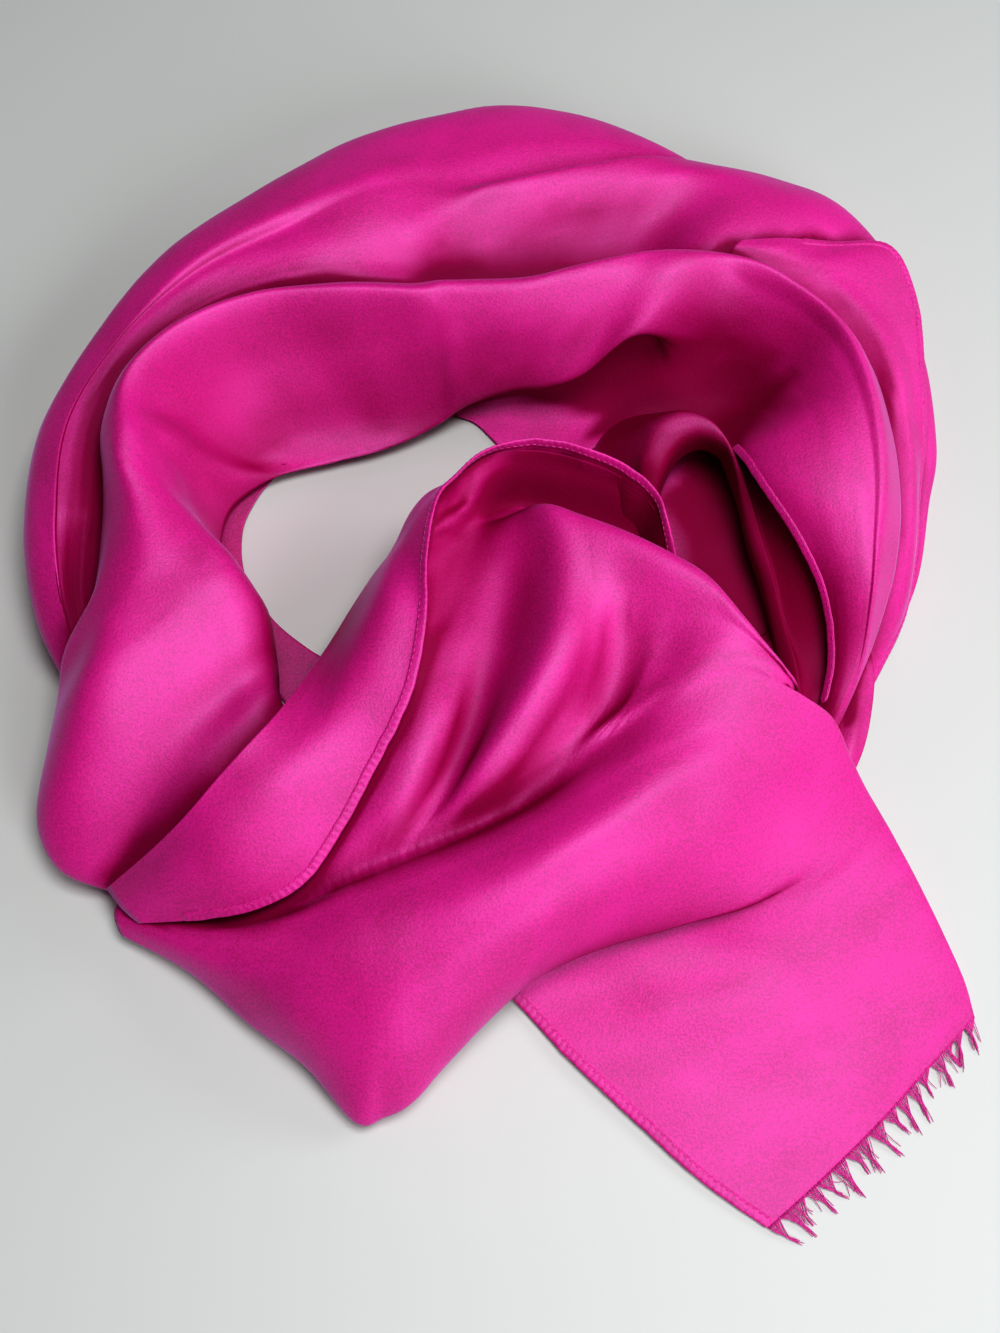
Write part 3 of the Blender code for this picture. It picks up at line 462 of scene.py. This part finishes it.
SASH_CREASES = [
    ([(-92, -146, 19), (-69, -147, 27), (-31, -132, 34), (10, -117, 38), (40, -96, 46)], 3.6, -2.4),
    ([(-8, -72, 45), (-20, -106, 43), (-36, -132, 35)], 6.5, 2.4),
    ([(3, -66, 44), (-9, -100, 41), (-26, -128, 35)], 5.5, -1.6),
    ([(30, -50, 56), (23, -74, 54), (4, -104, 46), (-12, -122, 38)], 8.0, 2.2),
    ([(44, -52, 55), (41, -72, 47), (33, -94, 44)], 9.0, -2.4),
    ([(62, -56, 58), (52, -80, 50), (34, -100, 44)], 7.0, -1.4),
    ([(-60, -160, 33), (-36, -166, 40), (-8, -158, 46), (20, -142, 52)], 10.0, 0.8),
    ([(-30, -190, 24), (-6, -172, 38), (26, -152, 42)], 7.0, -0.9),
    ([(60, -118, 50), (84, -112, 48), (104, -98, 46)], 8.0, 0.9),
    ([(40, -168, 6), (70, -172, 8), (98, -166, 9)], 9.0, 0.9),
    ([(60, -200, 4), (92, -194, 5), (122, -174, 7)], 8.0, -0.7),
]
SASH_ALONG, SASH_ACROSS = 12, 11
sash, sash_grid = lay_cloth("sash", SASH, SASH_ALONG, SASH_ACROSS, SASH_CREASES, seed=3.0)
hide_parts("front_wrap", "front_roll", "fringed_end")
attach(sash, "root")

# ----------------------------------------------------------------------
# The cup's wall: the hemmed edge of the sash, of the same silk. It comes back over the near corner and stands up
# round the dip, with the hidden plies behind it.
CUP_WALL = [
    # edge, middle, rim: each x y z, from the near corner to the far side of the cup
    [(-122, -135, 10.6), (-116, -142, 13.2), (-110, -147, 13)],
    [(-103, -127, 30), (-96, -138, 29.5), (-88, -148, 22)],
    [(-91.5, -120, 41), (-82, -133, 39), (-70, -146, 27.5)],
    [(-81.5, -109.6, 46.5), (-70, -124.6, 44), (-55, -138.5, 32)],
    [(-72.6, -99.6, 49), (-60, -113, 47.5), (-43, -122.5, 39)],
    [(-64.6, -87, 45), (-51.5, -98.4, 49), (-35, -108.5, 45)],
    [(-54, -60, 30), (-43.4, -78.4, 50), (-27, -94, 50.6)],
    [(-46, -36, 18), (-37.4, -60.5, 52), (-22, -81, 54)],
    [(-40, -18, 8), (-33.2, -44.5, 51), (-19, -62, 58)],
    [(-33, -6, 5), (-30, -26, 42), (-19, -40, 60)],
    [(-28, -2, 4), (-25, -11, 40), (-16, -19, 60)],
    [(-19, 5, 4), (-16, -1, 34), (-10, -9, 58)],
    [(-8, 12, 4), (-5, 7, 32), (-2, 1, 56)],
    [(6, 12, 5), (7, 9, 30), (9, 7, 54)],
    [(20, 4, 7), (20, 5, 30), (20, 9, 52)],
    [(31, -3, 9), (32, 1, 30), (33, 7, 50)],
    [(42, -9, 11), (44, -4, 29), (47, 2, 47)],
    [(50, -17, 13), (53, -13, 29), (57, -7, 45)],
    [(54, -26, 15), (57, -24, 29), (61, -20, 43)],
    [(60, -34, 10), (63, -34, 19), (66, -34, 28)],
]
CUP_CREASES = [
    ([(-92, -128, 33), (-66, -112, 44), (-46, -84, 42)], 9.0, 0.9),
    ([(-84, -112, 39), (-58, -96, 44), (-38, -60, 40)], 6.0, -0.9),
    ([(-30, -30, 36), (-24, -18, 46), (-12, -8, 52)], 6.0, -0.7),
    ([(-22, 0, 6), (-20, -5, 32), (-13, -14, 55)], 5.0, 1.3),
    ([(8, 12, 2), (9, 9, 30), (10, 7, 56)], 4.5, -1.8),
    ([(26, 1, 4), (27, 3, 30), (28, 7, 54)], 5.0, 1.5),
    ([(44, -10, 8), (47, -7, 28), (50, -2, 50)], 4.5, -1.6),
]
cup_wall, cup_grid = lay_cloth("cup_band", CUP_WALL, 9, 40, CUP_CREASES, waver=0.25, seed=4.0)
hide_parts("cup_wall")
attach(cup_wall, "root")

# ----------------------------------------------------------------------
# The hems of the long edges: the silk is turned twice to a band under 4 mm wide and machine-stitched along the turn,
# which puckers it a little between the stitches. The stitches are of silk thread in the cloth's own dye.
HEM_WIDTH = 3.4
HEM_THICKNESS = 1.1
HEM_SIDES = 14
HEM_STEP = 0.55
EDGE_OVERHANG = 0.35
STITCH_PITCH = 2.3
STITCH_FROM_EDGE = 0.75
STITCH_REACH = np.array([0.0, 0.25, 1.25, 1.5])
STITCH_RADII = np.array([0.08, 0.2, 0.2, 0.08])
TUBE_GIRTH = 0.008


def even_steps(edge, inside, pitch):
    """Even steps along an edge of the cloth, and the points of the edge and of the line inside it at them."""
    reach = distances(edge)
    wanted = np.linspace(0.0, reach[-1], max(int(reach[-1] / pitch), 4))
    return wanted, points_at(wanted, reach, edge), points_at(wanted, reach, inside)


def unit(vectors):
    return vectors / np.maximum(np.linalg.norm(vectors, axis=-1, keepdims=True), 1e-9)


def tube_rings(spine, radii, sideways, upwards, sides):
    """The rings of a round tube along a spine, with its radius at each point of it."""
    turns = np.linspace(0, 2 * math.pi, sides, endpoint=False)
    return np.stack([spine + sideways * (radii * math.cos(a))[:, None] + upwards * (radii * math.sin(a))[:, None]
                     for a in turns], axis=1)


def tube_piece(name, rings, uvs, material):
    """One piece of many short closed tubes: each is an array of rings of points, in the tables' millimetres."""
    points, faces, spots = [], [], []
    for tube, tube_uvs in zip(rings, uvs):
        start = len(points)
        count, sides = tube.shape[:2]
        points += tube.reshape(-1, 3).tolist()
        for u in range(count - 1):
            low, high = start + u * sides, start + (u + 1) * sides
            for v in range(sides):
                w = (v + 1) % sides
                faces.append([low + v, low + w, high + w, high + v])
                spots.append([(tube_uvs[u], v / sides), (tube_uvs[u], (v + 1) / sides),
                              (tube_uvs[u + 1], (v + 1) / sides), (tube_uvs[u + 1], v / sides)])
        faces.append([start + v for v in reversed(range(sides))])
        faces.append([start + (count - 1) * sides + v for v in range(sides)])
        spots += [[(end, v / sides) for v in range(sides)] for end in (tube_uvs[0], tube_uvs[-1])]
    mesh = bpy.data.meshes.new(name)
    mesh.from_pydata(in_scene(points).tolist(), [], faces)
    cloth_uvs = np.array([(s * MILLIMETRE, t * TUBE_GIRTH) for face in spots for s, t in face])
    piece = make_piece(name, mesh, cloth_uvs, material, bpy.ops.mesh.normals_make_consistent)
    piece.select_set(False)
    return piece


def sew_hem(name, edge, inside, seed, width=HEM_WIDTH):
    """A hem along an edge of the cloth and its stitches; `inside` is the line of the cloth a little way in."""
    along, edge, inside = even_steps(edge, inside, HEM_STEP)
    forward = unit(np.gradient(edge, axis=0))
    inward = inside - edge
    inward = unit(inward - forward * np.sum(inward * forward, axis=1, keepdims=True))
    outward_face = np.cross(forward, inward)
    waver = np.array([noise.noise(Vector((s / 5.0, seed, 0.0))) for s in along])
    pucker = 1.0 + 0.16 * np.sin(2 * math.pi * along / STITCH_PITCH) + 0.3 * waver
    middle = edge + inward * (width / 2 - EDGE_OVERHANG) + inward * (0.25 * waver)[:, None]
    ends = np.clip(np.minimum(along, along[-1] - along) / 1.5, 0.25, 1.0)
    ring = []
    for side in range(HEM_SIDES):
        turn = 2 * math.pi * side / HEM_SIDES
        flat = math.copysign(abs(math.cos(turn)) ** 0.6, math.cos(turn)) * width / 2
        thick = math.copysign(abs(math.sin(turn)) ** 0.8, math.sin(turn)) * HEM_THICKNESS / 2
        ring.append(middle + inward * (flat * ends)[:, None] + outward_face * (thick * pucker * ends)[:, None])
    band = np.stack(ring, axis=1)
    band[:, :, 2] = np.maximum(band[:, :, 2], 0.2)
    hem = tube_piece(name, [band], [along], SILK)

    stitches, stitch_uvs = [], []
    for face in (1.0, -1.0):
        for start in np.arange(1.2, along[-1] - 2.0, STITCH_PITCH):
            reach = start + STITCH_REACH
            spine, into, over = (points_at(reach, along, line) for line in (middle, inward, outward_face))
            spine = spine + into * (width / 2 - STITCH_FROM_EDGE) + over * face * HEM_THICKNESS * 0.42
            stitches.append(tube_rings(spine, STITCH_RADII, into, over, 6))
            stitch_uvs.append(reach)
    thread = tube_piece(name + "_stitches", stitches, stitch_uvs, SILK_THREAD)
    for piece in (hem, thread):
        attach(piece, "root")
    return [hem, thread]


SILK_THREAD = silk_material("silk_thread", grain=0.4, see_through=0.0)

# The cup's rim, from where it comes out of the near corner's fold.
cup_hem = sew_hem("cup_hem", cup_grid[6:, -1], cup_grid[6:, -9], 1.0)

# The free edge of the inner turn at the right, from the sash to the arch.
inner_hem = sew_hem("inner_hem", inner_grid[18:60, -1], inner_grid[18:60, -6], 4.0, width=3.0)

# ----------------------------------------------------------------------
# The thin hemmed panel at the right: a strip of the same silk that shows between the ridge and its own hem. It is
# laid over the hidden plies and runs down to the table.
RIGHT_PANEL = [
    # bearing, inner, middle, hem: each r z
    (47, 129, 45, 132, 46.5, 136, 46.5),
    (43, 132, 44, 141, 46, 150, 44.5),
    (39, 135, 42, 150, 43.4, 166, 39.8),
    (35, 138, 40, 160, 42, 184, 36),
    (28, 141, 37, 160, 38, 180.5, 31),
    (20, 142, 34, 157, 35, 170, 27),
    (12, 142, 31, 153, 31, 162.5, 22),
    (4, 141, 28, 151, 26, 156, 15),
    (-4, 140, 24, 150, 20, 154, 8),
    (-12, 140, 18, 149, 12, 152, 2.5),
    (-20, 140, 9, 145, 6, 148, 1.8),
    (-29, 139, 6, 143, 4, 145, 1.2),
    (-38, 136, 3, 138, 2.4, 140, 0.9),
]
PANEL_CREASES = [
    ([around(38, 150, 43), around(24, 156, 37), around(8, 150, 30)], 4.0, -1.3),
    ([around(30, 168, 36), around(18, 162, 32), around(6, 154, 24)], 4.0, 0.8),
]
right_panel, panel_grid = lay_cloth(
    "right_panel", ring_lines(RIGHT_PANEL), 14, 24, PANEL_CREASES, waver=0.25, seed=5.0
)
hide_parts("right_outer")
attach(right_panel, "root")
panel_hem = sew_hem("panel_hem", panel_grid[18:-14, -1], panel_grid[18:-14, -5], 2.0, width=3.0)

# ----------------------------------------------------------------------
# A small fold of the same silk, which arches over the dark hollow inside the ring. Nothing fastens it: the turns
# beside it hold it up.
ARCH = [
    # back, outer, crest, inner, deep: each x y z
    [(38, 26, 1.2), (52, 18, 8), (55, 14, 13), (60, 11, 11), (62, 12, 3.2)],
    [(38, 40, 1.5), (52, 26, 16), (57, 21, 21), (63, 18, 18), (65, 20, 8)],
    [(50, 52, 2), (58, 35, 23), (63, 29, 27), (68, 25, 23), (70, 27, 12)],
    [(70, 51, 5), (69, 38, 27), (73, 31, 30), (76, 27, 26), (77, 30, 14)],
    [(83, 41, 9), (80, 33, 28), (82, 27, 31), (84, 22, 27), (84, 26, 15)],
    [(93, 27, 18), (88, 20, 26), (88, 16, 29), (88, 12, 25), (88, 16, 13)],
    [(98, 11, 25), (94, 6, 22), (92, 4, 24), (90, 2, 20), (91, 5, 10)],
    [(103, -5, 29), (97, -8, 20), (95, -9, 22), (92, -10, 18), (93, -8, 9)],
    [(109, -20, 28), (101, -24, 17), (99, -25, 19), (96, -25, 15), (97, -24, 6)],
    [(115, -36, 22), (104, -40, 13), (102, -40, 15), (99, -40, 11), (100, -40, 4)],
    [(119, -52, 14), (108, -56, 12), (105, -56, 14), (101, -56, 9), (102, -56, 2)],
    [(122, -66, 9), (109, -70, 11), (106, -70, 12.5), (102, -70, 8), (102, -70, 2)],
    [(121, -82, 6), (111, -86, 9.5), (107, -86, 10.5), (103, -86, 7), (103, -86, 2)],
]
# The arch wears the darker copy of the silk: painted shade for the hollow it spans.
arch, _ = lay_cloth("arch", ARCH, 12, 14, waver=0.2, seed=6.0, material=SILK_PAINTED_SHADE)
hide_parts("inner_arch")
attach(arch, "root")

# ----------------------------------------------------------------------
# The end of the inside turn: a small tongue of the same silk, which comes out past the sash's edge and hangs loose
# to the table.
TAIL = [
    # left, middle, right: each x y z
    [(121, -50, 14), (126, -50, 16), (131, -49, 15.4)],
    [(120, -62, 12.4), (126, -62, 14.2), (132, -61, 13.4)],
    [(121, -74, 6.5), (126, -74, 8), (131, -73, 7)],
    [(117.5, -84, 4), (122.5, -86, 6), (127.5, -85, 5)],
    [(112, -94, 3), (117, -97, 4), (121, -98, 2.5)],
]
tail, _ = lay_cloth("tail", TAIL, 12, 12, waver=0.1, seed=7.0)
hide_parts("small_tail")
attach(tail, "root")

# ----------------------------------------------------------------------
# The lowest turn of the cloth: the same silk, flat on the table under the left side. The turns above hold it down,
# and only its inner edge shows.
LOWEST = [
    # bearing, inner, middle, outer: each r z
    (160, 83, 0.8, 89, 1.1, 96, 0.8),
    (168, 87, 0.8, 93, 1.1, 98, 0.8),
    (178, 90, 0.8, 96, 1.1, 101, 0.8),
    (190, 89, 0.8, 91, 1.1, 93, 0.8),
    (202, 84, 0.8, 88, 1.1, 93, 0.8),
    (212, 79, 0.8, 86, 1.1, 94, 0.8),
    (222, 74, 0.8, 85, 1.1, 96, 0.8),
    (234, 66, 0.8, 82, 1.1, 98, 0.8),
]
# The lowest turn wears the darker copy of the silk: painted shade for where it lies under the turns.
lowest_turn, _ = lay_cloth(
    "lowest_turn", ring_lines(LOWEST), 12, 10, waver=0.1, seed=8.0, material=SILK_PAINTED_SHADE
)
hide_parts("lower_turn")
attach(lowest_turn, "root")

# ----------------------------------------------------------------------
# The rest of the scarf, which lies wound inside the heap in flat plies. It is one cloth folded to and fro across the
# ring, so that it shows its rounded folds one above the other wherever the outer stretches leave it bare.
PLY_ROUTE = [
    # bearing, floor r, inner foot r, inner shoulder r z, crown r z, outer shoulder r z, outer foot r
    (-52, 58, 66, 74, 26, 104, 34, 128, 26, 137), (-44, 64, 72, 82, 22, 100, 26, 114, 14, 120),
    (-36, 68, 80, 88, 9, 94, 10, 102, 6, 106), (-27, 66, 97, 104, 7, 113, 8, 123, 6, 127),
    (-18, 64, 107, 113, 8, 120, 12, 128, 9, 132), (-8, 62, 106, 113, 11, 122, 19, 133, 12, 137),
    (0, 60, 101, 109, 20, 124, 30, 137, 16, 140), (10, 57, 94, 103, 20, 124, 30, 140, 18, 147),
    (20, 54, 90, 101, 14, 121, 22, 142, 17, 152), (30, 56, 86, 97, 8, 118, 14, 148, 18, 163),
    (38, 62, 82, 92, 8, 112, 15, 150, 20, 166), (48, 72, 77, 84, 12, 104, 19, 152, 23, 167),
    (60, 67, 71, 78, 14, 104, 16, 150, 23, 166), (80, 66, 69, 73, 16, 106, 16, 152, 24, 166),
    (100, 66, 69, 73, 18, 102, 20, 146, 26, 158), (120, 66, 70, 76, 22, 104, 32, 136, 28, 145),
    (140, 80, 85, 92, 22, 112, 28, 138, 26, 146), (160, 103, 107, 112, 21, 120, 24, 142, 22, 147),
    (180, 104, 107, 111, 23, 118, 25, 141, 18, 149), (199, 94.3, 97, 102, 25, 112, 28, 129, 13, 134),
    (208, 94.3, 97, 103, 25, 114, 28, 132, 11, 138), (216, 98, 101, 105, 24, 126, 30, 155, 19, 162),
    (230, 112, 115, 118, 6, 135, 8, 153, 6, 158), (245, 80, 84, 90, 17, 122, 28, 157, 17, 168),
    (258, 56, 60, 68, 23, 108, 28, 151, 25, 164), (270, 46, 50, 58, 25, 104, 29, 134, 27, 141),
    (290, 46, 50, 58, 29, 98, 33, 132, 30, 140),
]
PLY_COUNT = 6  # each ply keeps inside the route by PLY_INSET, and its edges wander a little
PLY_POINTS = 13
PLY_TOP = 0.97
PLY_INSET = 1.5
PLY_WANDER = 1.1
PLY_FLOOR_STEP = 2.5
ply_closed = np.array(PLY_ROUTE[-1:] + PLY_ROUTE + PLY_ROUTE[:2], float)
ply_closed[0, 0] -= 360
ply_closed[-2:, 0] += 360
ply_rows = smooth(ply_closed, 6)[6 : 6 * (len(PLY_ROUTE) + 1) + 1]
ply_lines = []
for bearing, floor_in, foot_in, in_r, in_z, crown_r, crown_z, out_r, out_z, foot_out in ply_rows:
    loops = bearing / 360.0 * 2 * math.pi
    line = []
    for ply in range(PLY_COUNT):
        share = PLY_TOP - (ply + 0.18 * math.sin(2 * loops + 1.7 * ply)) / PLY_COUNT
        inner = foot_in + PLY_INSET + (in_r - foot_in) * share**2
        inner += PLY_WANDER * math.sin(3 * loops + 2.1 * ply)
        if ply >= PLY_COUNT - 2:
            inner = floor_in + (PLY_COUNT - 1 - ply) * PLY_FLOOR_STEP + 1.0
            in_z = 5.0
        outer = foot_out - PLY_INSET - (foot_out - out_r) * share**2
        outer += PLY_WANDER * math.sin(4 * loops + 1.3 * ply)
        across = np.linspace(0.0, 1.0, PLY_POINTS)
        crown_at = (crown_r - inner) / max(outer - inner, 1.0)
        heights = [in_z - PLY_INSET, crown_z - PLY_INSET, out_z - PLY_INSET]
        top = np.interp(across, [0.0, min(max(crown_at, 0.2), 0.8), 1.0], heights)
        run = [around(bearing, inner + (outer - inner) * a, max(t * share, 0.7)) for a, t in zip(across, top)]
        line += run if ply % 2 else run[::-1]
    ply_lines.append(line)
ply_grid = np.array(ply_lines)
ply_grid[-1] = ply_grid[0]
# The plies wear the darker copy of the silk: painted shade for the inside of the heap.
hidden_plies, _ = lay_cloth("hidden_plies", ply_grid.tolist(), 1, 2, waver=0.2, seed=9.0, material=SILK_PAINTED_SHADE)
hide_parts("hidden_layers")
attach(hidden_plies, "root")

# ----------------------------------------------------------------------
# The fringed end: the weft is drawn out of the last stretch, and the warp threads left cling together in tufts that
# lie a little askew on the table. The left edge of this end has a hem too.
FRINGE_THREADS = 250
TUFT_PITCH = 5.6
THREAD_RADIUS = 0.15
STRAY_SHARE = 0.07
end_start = 8 * SASH_ALONG  # the sash's first line that has an end
end_edge, end_inside = sash_grid[end_start:, -1], sash_grid[end_start:, -6]
under_roll = 13 * SASH_ACROSS + 8  # a little past the tuck
end_hem = sew_hem("end_hem", sash_grid[end_start, under_roll:], sash_grid[end_start + 5, under_roll:], 3.0)

chance = np.random.default_rng(5)
along, end_edge, end_inside = even_steps(end_edge, end_inside, 0.25)
outward = unit(end_edge - end_inside)
outward[:, 2] = 0.0
outward = unit(outward)
sideways = np.stack([outward[:, 1], -outward[:, 0], np.zeros(len(outward))], axis=1)

tuft_places = np.arange(1.2, along[-1], TUFT_PITCH)
tuft_places = tuft_places + chance.uniform(-1.1, 1.1, len(tuft_places))
tuft_lengths = chance.uniform(8.0, 12.5, len(tuft_places))
tuft_leans = chance.uniform(-1.0, 3.6, len(tuft_places))
tuft_curls = chance.uniform(-1.6, 2.4, len(tuft_places))
threads, thread_reach = [], []
for root_at in np.linspace(0.3, along[-1] - 0.3, FRINGE_THREADS):
    root_at += chance.uniform(-0.12, 0.12)
    tuft = int(np.abs(tuft_places - root_at).argmin())
    stray = chance.random() < STRAY_SHARE
    length = tuft_lengths[tuft] * chance.uniform(0.72, 1.04) * (0.8 if stray else 1.0)
    gather = chance.uniform(0.78, 0.97) if not stray else chance.uniform(-0.3, 0.4)
    pull = (tuft_places[tuft] - root_at) * gather
    root, out, side = (points_at(root_at, along, line) for line in (end_edge, outward, sideways))
    lean = tuft_leans[tuft] + chance.uniform(-0.5, 0.5) + (chance.uniform(-2.5, 2.5) if stray else 0.0)
    curl = tuft_curls[tuft] + chance.uniform(-0.3, 0.3)
    height = chance.uniform(0.3, 1.3)
    spine = []
    for t in np.linspace(0.0, 1.0, 9):
        gathered = min(t / 0.55, 1.0) ** 1.3
        aside = -pull * gathered + lean * t**1.6 + curl * math.sin(math.pi * t) * 0.5
        spot = root + out * (length * t - 0.8) + side * aside
        spot[2] = root[2] * (1 - t) ** 2 + height * 2 * t * (1 - t) + 0.3 + 0.5 * chance.random() * t * (1 - t)
        spine.append(spot)
    spine = smooth(spine, 1)
    forward = unit(np.gradient(spine, axis=0))
    across = unit(np.cross(forward, (0.0, 0.0, 1.0)))
    above = np.cross(across, forward)
    radii = THREAD_RADIUS * np.linspace(1.0, 0.62, len(spine))
    threads.append(tube_rings(spine, radii, across, above, 4))
    thread_reach.append(np.linspace(0.0, length, len(spine)))
fringe = tube_piece("fringe_threads", threads, thread_reach, SILK_THREAD)
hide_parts("fringe")
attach(fringe, "root")

# ----------------------------------------------------------------------
# Painted shade in the folds: light that reaches the silk deep in a fold has been through its dye more than once, and
# comes back crimson. So the dye is painted darker, toward crimson, where a sheet's face is shut in by the cloth
# around it, and each sheet carries that painted shade as "painted_fold_shade".
LOOK_ROUND = 40
SHUT_IN_WITHIN = 0.11
CLEAR_OF_FACE = 0.0012
SPOT_STEP = 4
OPEN_BELOW, SHUT_IN_RANGE = 0.045, 0.25
DEEPEST_PAINTED_SHADE = 0.92
tree_points, tree_faces = [], []
for piece, _ in SHEETS:
    start = len(tree_points)
    tree_points += [v.co.copy() for v in piece.data.vertices]
    tree_faces += [[start + v for v in face.vertices] for face in piece.data.polygons]
cloth_tree = BVHTree.FromPolygons(tree_points, tree_faces)
ways_out = []
for k in range(LOOK_ROUND):
    rise = math.sqrt((k + 0.5) / LOOK_ROUND)
    turn = k * math.pi * (3 - math.sqrt(5))
    ways_out.append((math.cos(turn) * math.sqrt(1 - rise**2), math.sin(turn) * math.sqrt(1 - rise**2), rise))
for piece, grid in SHEETS:
    normals = grid_normals(grid)
    spots_u = np.unique(np.append(np.arange(0, grid.shape[0], SPOT_STEP), grid.shape[0] - 1))
    spots_v = np.unique(np.append(np.arange(0, grid.shape[1], SPOT_STEP), grid.shape[1] - 1))
    shut_in = np.zeros((len(spots_u), len(spots_v)))
    for i, u in enumerate(spots_u):
        for j, v in enumerate(spots_v):
            spot = Vector(in_scene(grid[u, v]))
            both_sides = []
            for out in (Vector(normals[u, v]), -Vector(normals[u, v])):
                aside = out.orthogonal().normalized()
                beside = out.cross(aside)
                start = spot + out * CLEAR_OF_FACE
                hits = [cloth_tree.ray_cast(start, aside * x + beside * y + out * z, SHUT_IN_WITHIN)[3]
                        for x, y, z in ways_out]
                both_sides.append(sum(1.0 - way / SHUT_IN_WITHIN for way in hits if way is not None) / LOOK_ROUND)
            shut_in[i, j] = min(both_sides)
    across = np.array([np.interp(np.arange(grid.shape[1]), spots_v, row) for row in shut_in])
    whole = np.array([np.interp(np.arange(grid.shape[0]), spots_u, column) for column in across.T]).T
    painted_shade = np.clip((whole - OPEN_BELOW) / SHUT_IN_RANGE, 0.0, 1.0) * DEEPEST_PAINTED_SHADE
    mesh = piece.data
    spots = np.empty(len(mesh.vertices), dtype=np.int32)
    mesh.attributes["grid_spot"].data.foreach_get("value", spots)
    mesh.attributes.new("painted_fold_shade", "FLOAT", "POINT").data.foreach_set("value", painted_shade.ravel()[spots])
    mesh.attributes.remove(mesh.attributes["grid_spot"])

# ----------------------------------------------------------------------
# The table top: plain, pale and matt. The main light comes down from the ceiling, and two soft windows fill in, one
# in front at the right and one at the far right.
bpy.ops.mesh.primitive_plane_add(size=6.0, location=(0, 0, -0.0002))
table_top = bpy.context.object
table_top.name = "table_top"
bpy.ops.object.transform_apply(location=True, rotation=True, scale=True)
white = bpy.data.materials.new("white_table")
white.use_nodes = True
white.node_tree.nodes["Principled BSDF"].inputs["Base Color"].default_value = (0.57, 0.57, 0.545, 1.0)
white.node_tree.nodes["Principled BSDF"].inputs["Roughness"].default_value = 0.55
table_top.data.materials.append(white)
table_top.select_set(False)

HEAP_HEART = Vector((0.0, 0.0, 0.02))


def soft_light(name, place, size, power, colour):
    """A rectangular lamp that faces the middle of the heap."""
    lamp = bpy.data.lights.new(name, "AREA")
    lamp.shape = "RECTANGLE"
    lamp.size, lamp.size_y = size
    lamp.energy = power
    lamp.color = colour
    light = bpy.data.objects.new(name, lamp)
    light.location = place
    light.rotation_euler = (HEAP_HEART - Vector(place)).to_track_quat("-Z", "Y").to_euler()
    bpy.context.scene.collection.objects.link(light)


soft_light("window", (0.56, -0.86, 0.64), (0.5, 0.5), 5.4, (0.92, 0.96, 1.0))
soft_light("far_window", (1.05, 0.25, 0.6), (0.5, 0.4), 3.4, (0.92, 0.96, 1.0))
soft_light("ceiling", (0.22, -0.05, 1.2), (0.55, 0.55), 9.0, (0.96, 0.98, 1.0))

world = bpy.data.worlds.new("room_air")
bpy.context.scene.world = world
world.use_nodes = True
world.node_tree.nodes["Background"].inputs["Color"].default_value = (0.92, 0.95, 1.0, 1.0)
world.node_tree.nodes["Background"].inputs["Strength"].default_value = 0.06

# ----------------------------------------------------------------------
# The camera: at the photograph's angle, looking down across the heap from in front. EYE is its place in the scene,
# in millimetres, and TILT is how far it looks up from straight down, in degrees.
EYE = (2.8, -237.9, 472.5)
TILT = 25.0
LENS = 40.0
camera_data = bpy.data.cameras.new("camera")
camera_data.sensor_fit = "VERTICAL"
camera_data.sensor_height = 36.0
camera_data.sensor_width = 27.0
camera_data.lens = LENS
camera_data.clip_start = 0.01
camera = bpy.data.objects.new("camera", camera_data)
camera.location = [value * MILLIMETRE for value in EYE]
camera.rotation_euler = (math.radians(TILT), 0.0, 0.0)
bpy.context.scene.collection.objects.link(camera)
bpy.context.scene.camera = camera
bpy.context.scene.view_settings.view_transform = "Standard"
bpy.context.scene.view_settings.look = "High Contrast"
